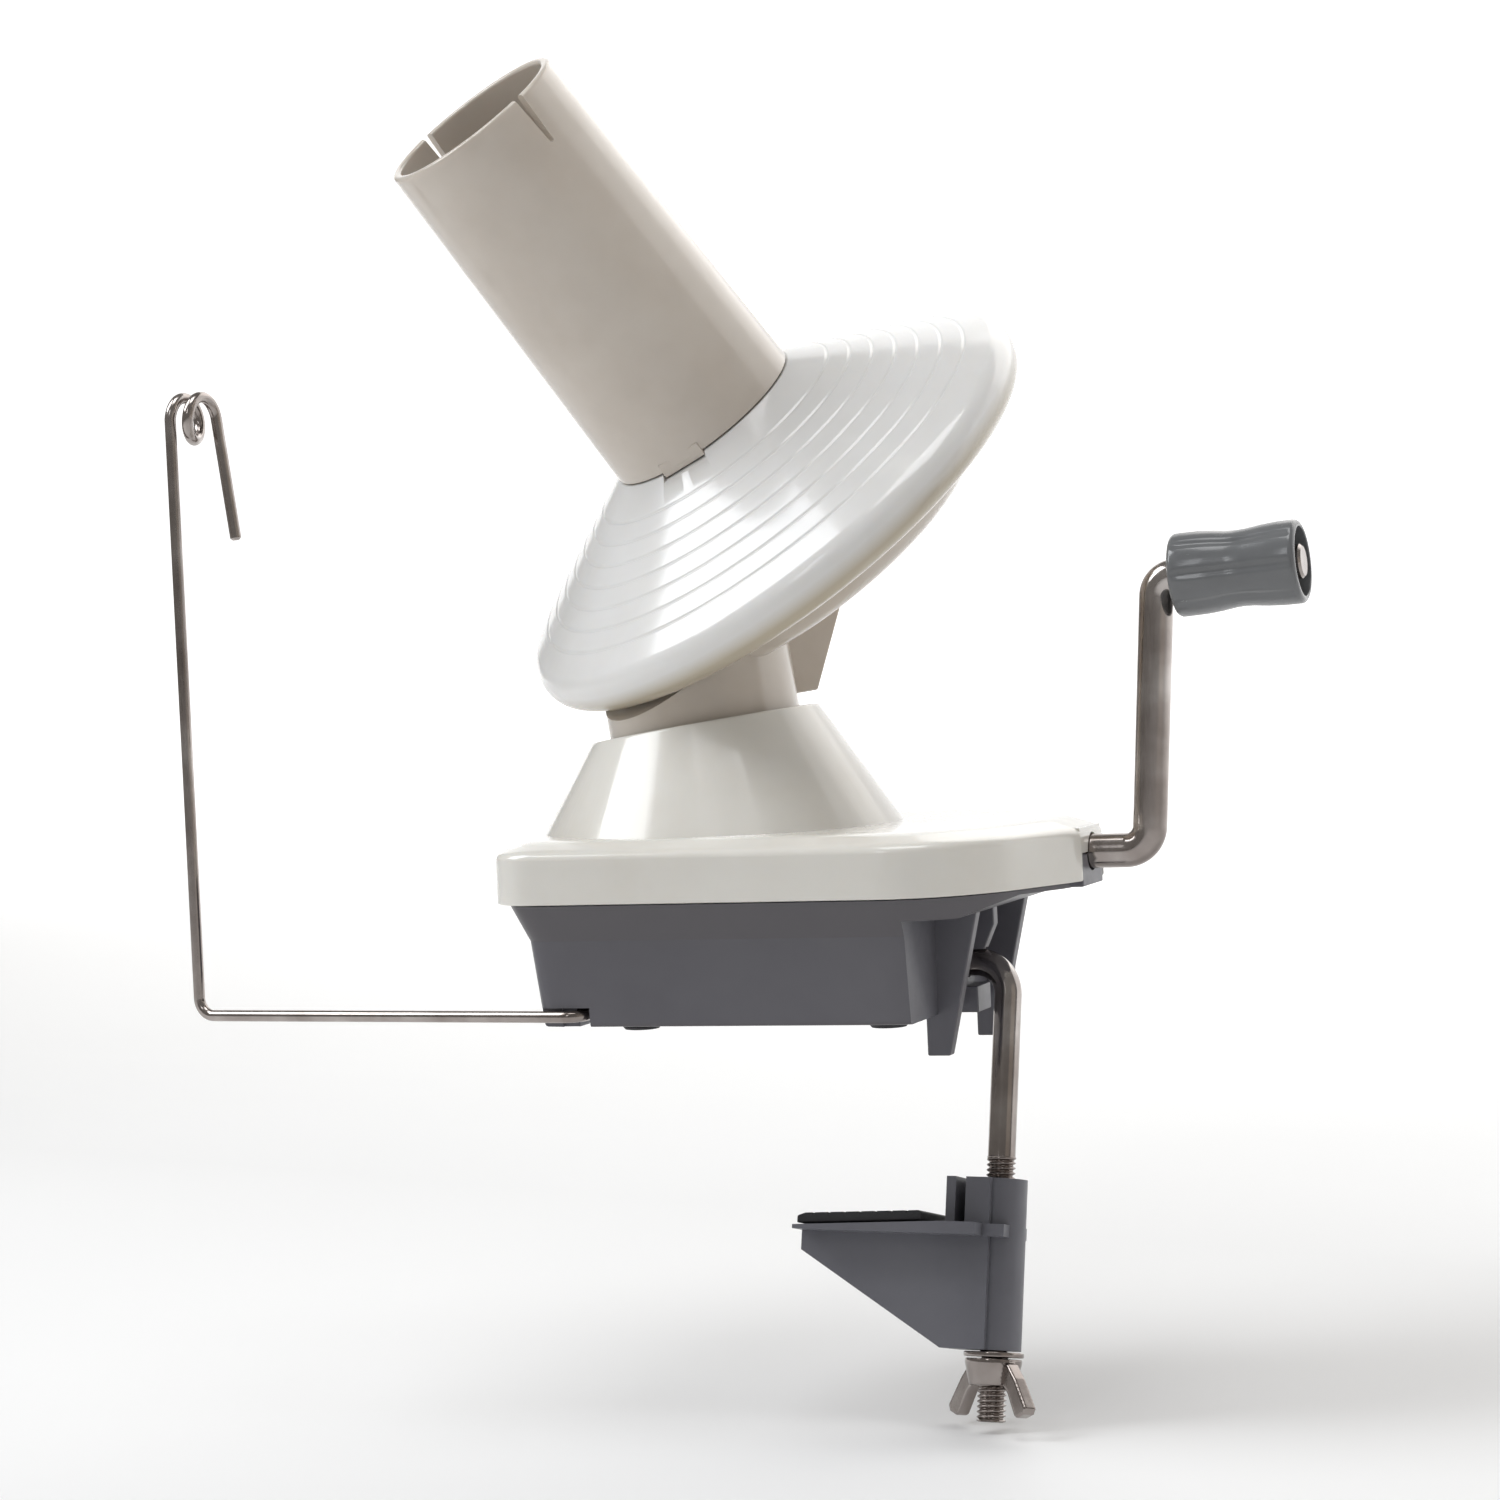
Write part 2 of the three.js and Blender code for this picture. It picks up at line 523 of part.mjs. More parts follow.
add('crank_collar', alongX(ring(3.8, 5.2, 30.2, 32, 24), 0, 0, CRANK.z), STEEL);

const grip = new THREE.Group();
grip.position.copy(knee).addScaledVector(gripAxis, gripStart);
grip.rotation.y = Math.PI / 2 - crankLean;
winder.add(grip);
const L = GRIP.length;
add('crank_handle', lathe([
  [3.8, 0], [7.3, 0], [GRIP.r, 1], [GRIP.r, 0.3 * L], [GRIP.waist, 0.5 * L], [GRIP.r, 0.7 * L],
  [GRIP.r, L - 0.8], [7.6, L], [6.7, L], [6.7, L - 5], [3.8, L - 5],
], 32), GREY, grip);
add('handle_retainer', ring(3.8, 5.8, L - 4.7, L - 3.7, 20), STEEL, grip);

// ---------------------------------------------------------------- fixed post and fixed gear
const sunTop = SPINDLE.apexH - (PLANET.cone - PLANET.face) * Math.cos(
  coneAngle(PLANET.sun, PLANET.teeth, SPINDLE.tilt * DEG));
const sunSeat = sunTop - 11;
const flat = (x) => solid(box(x, 9, -9, 9, sunSeat - GAP, 110)); // stops the gear turning on the post
const postCuts = [
  flat(2.3).rotate([0, 0, SPINDLE.yaw]),
  solid(disc(1.3, -9, 9, 12).rotateX(Math.PI / 2).translate(0, 0, POST_PIN_H)),
];
add('fixed_post', geometryOf(cut(solid(lathe([
  [0, 27], [3, 27], [3, 76.3], [4.4, 76.3], [4.4, sunSeat - GAP], [3, sunSeat - GAP],
  [3, sunTop + 0.6], [1.7, sunTop + 0.6], [1.7, sunTop - 9], [0, sunTop - 9],
], 20)), ...postCuts)), STEEL, mainAxis);
add('post_pin', disc(1, -6, 6, 12).rotateX(Math.PI / 2).translate(0, 0, POST_PIN_H), STEEL, mainAxis);

function fixedGear() {
  const { sun, teeth, cone, face } = PLANET;
  const rim = bevelTeeth(sun, teeth, SPINDLE.tilt * DEG, cone, face, Math.PI / sun);
  rim.rotateX(Math.PI).rotateZ(Math.PI).translate(0, 0, SPINDLE.apexH);
  const core = disc(6.3, sunSeat, sunTop - 0.5, 24);
  const bore = cut(solid(disc(3.3, 70, 110, 20)), flat(2.6));
  return cut(union(solid(rim), solid(core)), bore);
}
add('fixed_gear', geometryOf(fixedGear()).rotateZ(SPINDLE.yaw * DEG), NYLON, mainAxis);
add('fixed_gear_screw', screw(sunTop + 3.4, sunTop - 7, 1.4, 5, 2.2), STEEL, mainAxis);
add('thrust_washer', ring(3.3, 6.6, 40.3, 41.2, 24), NYLON, mainAxis);

// ---------------------------------------------------------------- turning head
const PINION_SCREWS = [[0, 10.8], [0, -10.8]];
const apexAlong = CRANK.z / Math.cos(HEAD_TILT * DEG); // gear apex, along the main axis
const pinionHubTop = NECK.bottomH - GAP;
function drivePinion() {
  const { teeth, pinion, cone, face } = CROWN;
  const phase = Math.PI / pinion - SPINDLE.yaw * DEG; // a gap faces the crank gear at rest
  const rim = bevelTeeth(pinion, teeth, crankShaftAngle, cone, face, phase);
  rim.translate(0, 0, apexAlong);
  const hub = disc(4.4, 41.5, 50, 24);
  const flangeDisc = disc(13.6, 51.2, pinionHubTop, 32);
  const core = disc(5.1, 49, 51.5, 24);
  const body = union(solid(rim), solid(hub), solid(core), solid(flangeDisc));
  const pilots = PINION_SCREWS.map(([x, y]) => solid(disc(1.35, 51, 55, 12).translate(x, y, 0)));
  return cut(body, solid(disc(3.4, 40, 55, 24)), ...pilots);
}
add('drive_pinion', geometryOf(drivePinion().rotate([0, 0, SPINDLE.yaw])), NYLON, mainAxis);

PINION_SCREWS.forEach(([x, y], i) => {
  const fastener = screw(57.4, 51.8, 1.05, 2.2, 1.6).translate(x, y, 0);
  add(`pinion_screw_${i + 1}`, fastener.rotateZ(SPINDLE.yaw * DEG), STEEL, mainAxis);
});

function dishSolid(grow, floorGrow, topZ) {
  const d = DISH;
  const slope = (d.topR - d.floorR) / (d.topZ - d.floorZ);
  const radius = (z) => d.floorR + slope * (z - d.floorZ) - grow;
  const z0 = d.floorZ + floorGrow;
  const bevel = 1.6;
  const profile = [[0, z0], [radius(z0) - bevel, z0], [radius(z0 + bevel), z0 + bevel],
    [radius(topZ), topZ], [0, topZ]];
  const body = lathe(profile, 60);
  body.rotateY(SPINDLE.tilt * DEG).translate(0, 0, SPINDLE.apexH);
  return solid(body);
}

function carrier() {
  const n = NECK;
  const tilted = (g) => solid(g.rotateY(SPINDLE.tilt * DEG).translate(0, 0, SPINDLE.apexH));
  const above = tilted(box(-200, 200, -200, 200, 0, 200).translate(0, 0, DISH.topZ + 4));
  const beyond = solid(box(DISH.clipX, 90, -90, 90, 40, 160));
  const belowNeck = solid(box(-90, 90, -90, 90, 0, 61.2));
  const outerDish = cut(dishSolid(0, 0, DISH.topZ), beyond, belowNeck);
  const innerDish = cut(dishSolid(DISH.wall, DISH.wall, DISH.topZ + 5),
    solid(box(DISH.clipX - DISH.wall, 90, -90, 90, 40, 160)));
  const neck = solid(disc(n.r, n.bottomH, 100, 56));
  const neckBore = solid(disc(n.r - 2.2, n.bottomH + 2.6, 130, 48));
  const fin = slabXZ([[-17, 61.2], [-26.1, 61.2], [-40.6, 86], [-36, 98], [-17, 80]], -5, 5);
  const finKeep = cut(solid(fin), dishSolid(DISH.wall, DISH.wall, DISH.topZ + 30));
  const sleeve = solid(ring(5.9, 8, n.bottomH, 76, 24));
  const pin = pinSeat();
  let body = union(outerDish, neck, finKeep);
  body = cut(body, innerDish, neckBore);
  const lid = tilted(lathe([[0, -51.2], [49.1, -51.2], [49.1, -55.7], [80, -55.7], [80, -53.5],
    [51.3, -53.5], [51.3, -49], [0, -49]], 56)); // closes the neck below the flange's rim
  const lidKeep = solid(disc(18, n.bottomH, 120, 56)).intersect(solid(box(4, 90, -90, 90, 50, 160)));
  body = union(body, sleeve, pin.boss, lid.intersect(lidKeep));
  const rimRoom = tilted(ring(51.3, 80, -53.5, -30, 56));
  const trims = [above, rimRoom, solid(disc(5.9, 40, 77, 24)), solid(disc(7.4, 76.4, 95, 24)), pin.hole];
  const screwHoles = PINION_SCREWS.map(([x, y]) => solid(disc(1.4, 50, 58, 12).translate(x, y, 0)));
  return cut(body, ...trims, ...screwHoles);
}
/** Boss on the dish floor that holds the spindle pin, and the hole for the pin. */
function pinSeat() {
  const place = (g) => solid(g.rotateY(SPINDLE.tilt * DEG).translate(0, 0, SPINDLE.apexH));
  const boss = place(lathe([[0, DISH.floorZ + 0.5], [6.5, DISH.floorZ + 0.5], [6.5, -54.3],
    [4.9, -54.3], [4.9, -52.2], [0, -52.2]], 24));
  const hole = place(disc(3.3, DISH.floorZ + 1.4, DISH.floorZ + 20, 20));
  return { boss, hole };
}
add('carrier', geometryOf(carrier()), IVORY, head);
add('neck_bush', ring(3.3, 5.6, NECK.bottomH + 0.2, 76, 24), BRASS, head);

const pinTop = -14;
add('spindle_pin', lathe([
  [0, DISH.floorZ + 1.8], [3, DISH.floorZ + 1.8], [3, pinTop], [1.7, pinTop], [1.7, pinTop - 9],
  [0, pinTop - 9],
], 20), STEEL, spindle);
add('spindle_washer', ring(1.9, 6, pinTop + 0.3, pinTop + 1.3, 24), STEEL, spindle);
add('spindle_screw', screw(pinTop + 3.8, pinTop - 7.5, 1.4, 3.4, 2.2), STEEL, spindle);

// ---------------------------------------------------------------- winding tube, flange, tube gear
const planetBack = -PLANET.cone * Math.cos(coneAngle(PLANET.teeth, PLANET.sun, SPINDLE.tilt * DEG));
const gearTopZ = -42;
const TUBE_SLIT_TURN = -3; // degrees, where the two slits sit at rest
const TUBE_TAB_TURN = 32; // degrees, where the tube's locating tab sits at rest
const TUBE_GEAR_SCREWS = [0, 120, 240].map((a) => [7.3 * Math.cos(a * DEG), 7.3 * Math.sin(a * DEG)]);
/** Points of the rolled rim, from one angle to another, at a radius about the roll's centre. */
function rimRoll(radius, from, to, steps) {
  const f = FLANGE;
  return Array.from({ length: steps + 1 }, (_, i) => {
    const angle = (from + ((to - from) * i) / steps) * DEG;
    return [f.rimR + radius * Math.cos(angle), f.rimZ + radius * Math.sin(angle)];
  });
}
function flange() {
  const f = FLANGE;
  const hubTop = pinTop - 0.6;
  const pilots = TUBE_GEAR_SCREWS.map(([x, y]) => solid(disc(1.35, -50, -35.6, 12).translate(x, y, 0)));
  const body = solid(lathe([
    [3.4, gearTopZ + GAP], [9, gearTopZ + GAP], [9, -26.9], [19, -25.3], [50, -40.9],
    ...rimRoll(f.roll - f.wall, 90 - f.slope, -75, 5), ...rimRoll(f.roll, -75, 90 - f.slope, 8),
    [f.seatR, f.seatZ], [18.7, f.seatZ], [18.7, -17.5], [16.9, -17.5],
    [16.9, -24.6], [9, -24.6], [9, hubTop], [3.4, hubTop],
  ], 60));
  const notch = box(18.5, 23.4, -5.3, 5.3, f.seatZ - 1.3, f.seatZ + 1).rotateZ(TUBE_TAB_TURN * DEG);
  return cut(body, solid(notch), ...pilots);
}
add('flange', geometryOf(flange()), IVORY, spindle);


function windingTube() {
  const t = TUBE;
  const body = solid(lathe([
    [t.bottomR, t.bottomZ], [t.topR, t.topZ], [t.topR - t.wall, t.topZ],
    [t.bottomR - t.wall, t.bottomZ],
  ], 56));
  const slitWidth = [0.5, 1.1];
  const slit = slabXZ([[-slitWidth[0], t.topZ - t.slit], [slitWidth[0], t.topZ - t.slit],
    [slitWidth[1], t.topZ + 1], [-slitWidth[1], t.topZ + 1]], -30, 30);
  const tab = solid(ring(t.bottomR - t.wall, t.bottomR, t.bottomZ - 1, t.bottomZ + 1, 56))
    .intersect(solid(box(10, 30, -5, 5, -30, 0).rotateZ(TUBE_TAB_TURN * DEG)));
  return cut(union(body, tab), solid(slit.rotateZ(TUBE_SLIT_TURN * DEG)));
}
add('winding_tube', geometryOf(windingTube()), IVORY, spindle);

function tubeGear() {
  const { sun, teeth, cone, face } = PLANET;
  const rim = bevelTeeth(teeth, sun, SPINDLE.tilt * DEG, cone, face, 0);
  rim.rotateX(Math.PI);
  const web = ring(3.4, 18, planetBack + 1.6, gearTopZ - 1.8, 32);
  const hub = ring(3.4, 9.6, planetBack - 1.8, gearTopZ, 24);
  const holes = TUBE_GEAR_SCREWS.map(([x, y]) => solid(disc(1.4, -60, -30, 12).translate(x, y, 0)));
  return cut(union(solid(rim), solid(web), solid(hub)), ...holes);
}
add('tube_gear', geometryOf(tubeGear()), NYLON, spindle);
TUBE_GEAR_SCREWS.forEach(([x, y], i) => {
  const fastener = screw(planetBack - 3.5, gearTopZ + 5.6, 1.05, 2, 1.4).translate(x, y, 0);
  add(`tube_gear_screw_${i + 1}`, fastener, STEEL, spindle);
});

// ---------------------------------------------------------------- table clamp
const legDirection = new THREE.Vector3(-Math.cos(CLAMP.lean * DEG), 0, -Math.sin(CLAMP.lean * DEG));
function clampRod() {
  const corner = new THREE.Vector3(0, 0, 0);
  const legEnd = corner.clone().addScaledVector(legDirection, CLAMP.x - SOCKET.x + 3.1);
  const bottom = new THREE.Vector3(0, 0, -39);
  const shank = wire(new WirePath([legEnd, corner, bottom], [CLAMP.bend], 7), CLAMP.r, 14);
  const thread = lathe([[0, -38], [CLAMP.r - 0.3, -38], [CLAMP.threadR, -38.9],
    [CLAMP.threadR, CLAMP.endZ + 0.5], [CLAMP.threadR - 0.5, CLAMP.endZ], [0, CLAMP.endZ]], 16);
  return union(solid(shank), solid(thread));
}
add('clamp_rod', geometryOf(clampRod()), STEEL, clamp);
add('clamp_ring', alongX(ring(CLAMP.r + 0.3, 4.1, SOCKET.x - 1.3, SOCKET.x - 0.3, 20), 0, 0, CLAMP.legZ),
  STEEL);

function clampJaw() {
  const j = JAW;
  const web = slabXZ([[0, j.bottomZ], [-9, j.bottomZ], [j.tipX, -58.4], [j.tipX, -54], [0, -54]], -7, 7);
  const plate = slabXZ([[j.tipX, -54.6], [j.tipX, -53.8], [-8, j.plateZ], [-1, j.plateZ],
    [-1, -54.6]], -13, 13);
  const ledge = box(-8.9, 3.4, -8, 8, -54.6, j.plateZ);
  const tower = box(-8.9, 0, -7, 7, -53, j.topZ);
  const boss = disc(j.bossR, j.bottomZ, j.topZ, 28);
  const pocket = box(-7, -j.bossR + 0.4, -9, 5, j.plateZ, j.topZ + 1);
  const bore = disc(3.25, -90, -30, 20);
  const grooves = [-11.2, -9.9].map((x) =>
    solid(box(x - 0.3, x + 0.3, -12, 12, j.plateZ - 0.6, j.plateZ + 0.5)));
  const body = union(solid(web), solid(plate), solid(ledge), solid(tower), solid(boss));
  return cut(body, solid(pocket), solid(bore), ...grooves);
}
add('clamp_jaw', geometryOf(clampJaw()), GREY, clamp);
add('jaw_pad', slabXZ([[JAW.tipX + 0.6, -53.45], [-12.2, -52.07], [-12.2, -50.5], [-13, -50.2],
  [JAW.tipX + 2.2, -51.4], [JAW.tipX + 0.6, -52]], -12, 12), RUBBER, clamp);
add('clamp_washer', ring(3.25, 5.9, JAW.bottomZ - 1.3, JAW.bottomZ - GAP, 28), STEEL, clamp);

function wingNut() {
  const top = JAW.bottomZ - 1.6;
  const hub = lathe([[3.25, top], [5.6, top], [5.6, top - 0.8], [4.6, top - 5.2], [3.25, top - 5.2]], 24);
  const wing = [[4.2, top - 0.6], [6.8, top - 1], [9.4, top - 3.6], [13.6, top - 9.2], [13, top - 10.4],
    [10.6, top - 11.2], [9.8, top - 10.8], [7, top - 6.4], [4.2, top - 4.4]];
  const wings = [0, 180].map((turn) => solid(slabXZ(wing, -1.3, 1.3).rotateZ(turn * DEG)));
  return cut(union(solid(hub), ...wings), solid(disc(3.25, -90, -60, 24)));
}
add('wing_nut', geometryOf(wingNut()).rotateZ(-40 * DEG), STEEL, clamp);

export default winder;
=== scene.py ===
"""Looks of the hand-cranked ball winder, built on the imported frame."""
import json
import math

import bmesh
import bpy
import numpy as np
from mathutils import Matrix, Vector


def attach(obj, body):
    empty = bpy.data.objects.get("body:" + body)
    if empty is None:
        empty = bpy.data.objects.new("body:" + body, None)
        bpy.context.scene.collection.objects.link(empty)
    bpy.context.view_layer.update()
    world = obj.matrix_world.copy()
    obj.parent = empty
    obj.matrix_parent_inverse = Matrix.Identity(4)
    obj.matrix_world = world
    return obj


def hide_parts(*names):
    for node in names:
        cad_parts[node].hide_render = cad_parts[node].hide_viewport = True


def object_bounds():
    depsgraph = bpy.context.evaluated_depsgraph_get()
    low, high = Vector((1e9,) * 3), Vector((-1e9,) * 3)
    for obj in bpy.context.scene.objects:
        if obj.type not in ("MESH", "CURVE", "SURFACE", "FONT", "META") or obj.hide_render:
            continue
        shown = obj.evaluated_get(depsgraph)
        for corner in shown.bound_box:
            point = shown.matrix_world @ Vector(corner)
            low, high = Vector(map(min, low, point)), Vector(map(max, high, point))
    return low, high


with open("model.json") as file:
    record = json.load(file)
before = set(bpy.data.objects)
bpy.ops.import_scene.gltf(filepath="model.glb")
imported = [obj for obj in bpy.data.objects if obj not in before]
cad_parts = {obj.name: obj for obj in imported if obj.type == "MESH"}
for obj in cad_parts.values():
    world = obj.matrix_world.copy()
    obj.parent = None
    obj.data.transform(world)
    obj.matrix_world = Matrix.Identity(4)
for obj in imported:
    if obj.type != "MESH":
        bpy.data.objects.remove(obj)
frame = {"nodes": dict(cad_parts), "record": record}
CAD_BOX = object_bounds()

DEG = math.pi / 180
MM = Matrix.Scale(0.001, 4)


def turn(axis, degrees):
    return Matrix.Rotation(degrees * DEG, 4, axis)


def shift(x, y, z):
    return Matrix.Translation((x, y, z))


# ------------------------------------------------------------------ frames of the CAD, in mm and degrees
BODY_TILT, HEAD_TURN = -8, -124
SPINDLE_Z, SPINDLE_TILT = 139.2, 34
CLAMP_X, CLAMP_Z, CLAMP_SWING, CLAMP_LEAN = 53.95, 8.4, -12.7, 1.2
CRANK_Z, ELBOW_X, THROW, CRANK_LEAN = 30.0, 83.4, 53.1, 4.0
GRIP_START = 3.8  # from the crank's knee to the grip
WING_TURN = -40

WORLD = Matrix.Identity(4)
MAIN = turn("Y", BODY_TILT)
HEAD = MAIN @ turn("Z", HEAD_TURN)
SPINDLE = HEAD @ shift(0, 0, SPINDLE_Z) @ turn("Y", SPINDLE_TILT)
CLAMP = shift(CLAMP_X, 0, CLAMP_Z) @ turn("X", CLAMP_SWING) @ turn("Y", CLAMP_LEAN)
GRIP_AXIS = Vector((math.cos(CRANK_LEAN * DEG), 0, math.sin(CRANK_LEAN * DEG)))
KNEE = Vector((ELBOW_X + THROW * math.sin(CRANK_LEAN * DEG), 0,
               CRANK_Z + THROW * math.cos(CRANK_LEAN * DEG)))
GRIP = Matrix.Translation(KNEE + GRIP_AXIS * GRIP_START) @ turn("Y", 90 - CRANK_LEAN)
CRANK_AXIS = shift(0, 0, CRANK_Z) @ turn("Y", 90)
CLAMP_AXIS = shift(0, 0, CLAMP_Z) @ turn("Y", 90)


# ------------------------------------------------------------------ mesh helpers, in mm
def new_mesh(name, verts, faces):
    mesh = bpy.data.meshes.new(name)
    mesh.from_pydata([tuple(map(float, v)) for v in verts], [], faces)
    bm = bmesh.new()
    bm.from_mesh(mesh)
    bmesh.ops.remove_doubles(bm, verts=bm.verts, dist=1e-5)
    bmesh.ops.recalc_face_normals(bm, faces=bm.faces)
    bm.to_mesh(mesh)
    bm.free()
    obj = bpy.data.objects.new(name, mesh)
    bpy.context.scene.collection.objects.link(obj)
    return obj


def skin(name, rings, closed=False, caps=True):
    """Quads between rings of equal length; caps are fans, or the last ring meets the first."""
    n, count = len(rings[0]), len(rings)
    verts = [tuple(p) for ring in rings for p in ring]
    faces = []
    for k in range(count if closed else count - 1):
        a, b = k * n, ((k + 1) % count) * n
        faces += [(a + i, a + (i + 1) % n, b + (i + 1) % n, b + i) for i in range(n)]
    if caps and not closed:
        for k in (0, count - 1):
            hub = len(verts)
            verts.append(tuple(np.mean(np.array(rings[k], float), axis=0)))
            faces += [(k * n + i, k * n + (i + 1) % n, hub) for i in range(n)]
    return new_mesh(name, verts, faces)


def rounded(points, radius, steps=4, closed=True):
    """Rounds the corners of a 2-D outline; radius is one number or one per point."""
    pts = [np.array(p, float) for p in points]
    n = len(pts)
    radii = [radius] * n if isinstance(radius, (int, float)) else list(radius)
    out = []
    for i, p in enumerate(pts):
        end = not closed and i in (0, n - 1)
        if radii[i] <= 0 or end:
            out.append(p)
            continue
        u, v = pts[i - 1] - p, pts[(i + 1) % n] - p
        lu, lv = np.linalg.norm(u), np.linalg.norm(v)
        t = min(radii[i], 0.45 * lu, 0.45 * lv)
        a, b = p + u / lu * t, p + v / lv * t
        for k in range(steps + 1):
            s = k / steps
            out.append((1 - s) ** 2 * a + 2 * s * (1 - s) * p + s * s * b)
    return out


def circle(r, z, n):
    angles = [2 * math.pi * i / n for i in range(n)]
    return [(r * math.cos(a), r * math.sin(a), z) for a in angles]


def revolve(name, profile, n=128, radius=None):
    """Solid of revolution about Z. The profile is [r, z] points, closed unless it ends on the axis."""
    on_axis = profile[0][0] < 1e-6 and profile[-1][0] < 1e-6
    pts = rounded(profile, radius, closed=not on_axis) if radius else profile
    return skin(name, [circle(r, z, n) for r, z in pts], closed=not on_axis, caps=False)


def disc(r, z0, z1, n=64, edge=0.0):
    return revolve("disc", [(0, z0), (r, z0), (r, z1), (0, z1)], n,
                   [0, edge, edge, 0] if edge else None)


def tube(r0, r1, z0, z1, n=64, edge=0.0):
    return revolve("tube", [(r0, z0), (r1, z0), (r1, z1), (r0, z1)], n, edge or None)


def block(x0, x1, y0, y1, z0, z1, edge=0.0):
    v = [(x, y, z) for x in (x0, x1) for y in (y0, y1) for z in (z0, z1)]
    f = [(0, 1, 3, 2), (4, 6, 7, 5), (0, 4, 5, 1), (2, 3, 7, 6), (0, 2, 6, 4), (1, 5, 7, 3)]
    return soften(new_mesh("block", v, f), edge)


def slab(points, y0, y1, edge=0.0):
    """An outline of [x, z] points through a thickness in Y."""
    n = len(points)
    v = [(x, y, z) for y in (y0, y1) for x, z in points]
    f = [tuple(range(n)), tuple(range(2 * n - 1, n - 1, -1))]
    f += [(i, (i + 1) % n, n + (i + 1) % n, n + i) for i in range(n)]
    return soften(new_mesh("slab", v, f), edge)


def bake(obj):
    """Applies an object's modifiers to its mesh."""
    bpy.context.view_layer.update()
    graph = bpy.context.evaluated_depsgraph_get()
    mesh = bpy.data.meshes.new_from_object(obj.evaluated_get(graph))
    old = obj.data
    obj.modifiers.clear()
    obj.data = mesh
    bpy.data.meshes.remove(old)
    return obj


def soften(obj, width, segments=3):
    if width <= 0:
        return obj
    m = obj.modifiers.new("edge", "BEVEL")
    m.width, m.segments, m.limit_method, m.angle_limit = width, segments, "ANGLE", 25 * DEG
    return bake(obj)


def place(obj, matrix):
    obj.data.transform(matrix)
    return obj


def combine(base, tools, operation):
    for tool in tools:
        m = base.modifiers.new("b", "BOOLEAN")
        m.object, m.operation, m.solver = tool, operation, "MANIFOLD"
        bake(base)
        bpy.data.objects.remove(tool)
    return base


def join(base, *tools):
    return combine(base, tools, "UNION")


def cut(base, *tools):
    return combine(base, tools, "DIFFERENCE")


def melt(obj, voxel, smooth=3):
    """Even skin with all edges rounded, as on a cast or moulded piece."""
    m = obj.modifiers.new("remesh", "REMESH")
    m.mode, m.voxel_size, m.adaptivity = "VOXEL", voxel, 0.0
    s = obj.modifiers.new("smooth", "SMOOTH")
    s.factor, s.iterations = 0.5, smooth
    return bake(obj)


def bend(before, corner, after, radius, steps):
    """Points round one bend of a wire."""
    into, away = (corner - before).normalized(), (after - corner).normalized()
    angle = into.angle(away)
    start = corner - into * (radius * math.tan(angle / 2))
    side = (away - into * into.dot(away)).normalized()
    centre = start + side * radius
    angles = [angle * k / steps for k in range(steps + 1)]
    return [centre - side * (radius * math.cos(a)) + into * (radius * math.sin(a)) for a in angles]


def wire_path(corners, bends, per_bend, step):
    """Points at most a step apart along straight runs joined by round bends."""
    c = [Vector(p) for p in corners]
    points = [c[0]]
    for i, radius in enumerate(bends, 1):
        points += bend(c[i - 1], c[i], c[i + 1], radius, per_bend)
    points.append(c[-1])
    dense = [points[0]]
    for a, b in zip(points, points[1:]):
        n = max(1, int(math.ceil((b - a).length / step)))
        dense += [a.lerp(b, k / n) for k in range(1, n + 1)]
    return dense


def sweep(name, points, radius, sides, dome):
    """A round rod along points, its ends eased by dome; radius is a number or takes (index, angle)."""
    pts = [Vector(p) for p in points]
    last = len(pts) - 1
    tangents = [(pts[min(i + 1, last)] - pts[max(i - 1, 0)]).normalized() for i in range(last + 1)]
    angles = [2 * math.pi * k / sides for k in range(sides)]
    value = radius if callable(radius) else (lambda i, a: radius)
    normal = tangents[0].orthogonal().normalized()
    rings = []

    def ring(i, centre, shrink=0.0):
        other = tangents[i].cross(normal)
        return [centre + (normal * math.cos(a) + other * math.sin(a)) * (value(i, a) - shrink)
                for a in angles]

    for i, tangent in enumerate(tangents):
        normal = (normal - tangent * tangent.dot(normal)).normalized()
        if i == 0:
            rings += [ring(i, pts[i], dome), ring(i, pts[i] + tangent * dome)]
        elif i == last:
            rings += [[p - tangent * dome for p in ring(i, pts[i])], ring(i, pts[i], dome)]
        else:
            rings.append(ring(i, pts[i]))
    return skin(name, rings)


# ------------------------------------------------------------------ materials
def node_material(name):
    mat = bpy.data.materials.new(name)
    mat.use_nodes = True
    tree = mat.node_tree
    shader = next(n for n in tree.nodes if n.type == "BSDF_PRINCIPLED")
    return mat, tree, shader


def noise(tree, scale, detail=3.0, rough=0.55, stretch=None):
    """Object-space noise; the scale is per metre."""
    coord = tree.nodes.new("ShaderNodeTexCoord")
    tex = tree.nodes.new("ShaderNodeTexNoise")
    tex.inputs["Scale"].default_value = scale
    tex.inputs["Detail"].default_value = detail
    tex.inputs["Roughness"].default_value = rough
    source = coord.outputs["Object"]
    if stretch:
        mapping = tree.nodes.new("ShaderNodeMapping")
        mapping.inputs["Scale"].default_value = stretch
        tree.links.new(source, mapping.inputs["Vector"])
        source = mapping.outputs["Vector"]
    tree.links.new(source, tex.inputs["Vector"])
    return tex


def map_range(tree, value, start, end, low=0.0, high=1.0):
    m = tree.nodes.new("ShaderNodeMapRange")
    m.inputs["From Min"].default_value, m.inputs["From Max"].default_value = start, end
    m.inputs["To Min"].default_value, m.inputs["To Max"].default_value = low, high
    tree.links.new(value, m.inputs["Value"])
    return m.outputs["Result"]


def spread(tree, tex, low, high):
    """Maps a noise value to a number between low and high."""
    return map_range(tree, tex.outputs["Fac"], 0.3, 0.7, low, high)


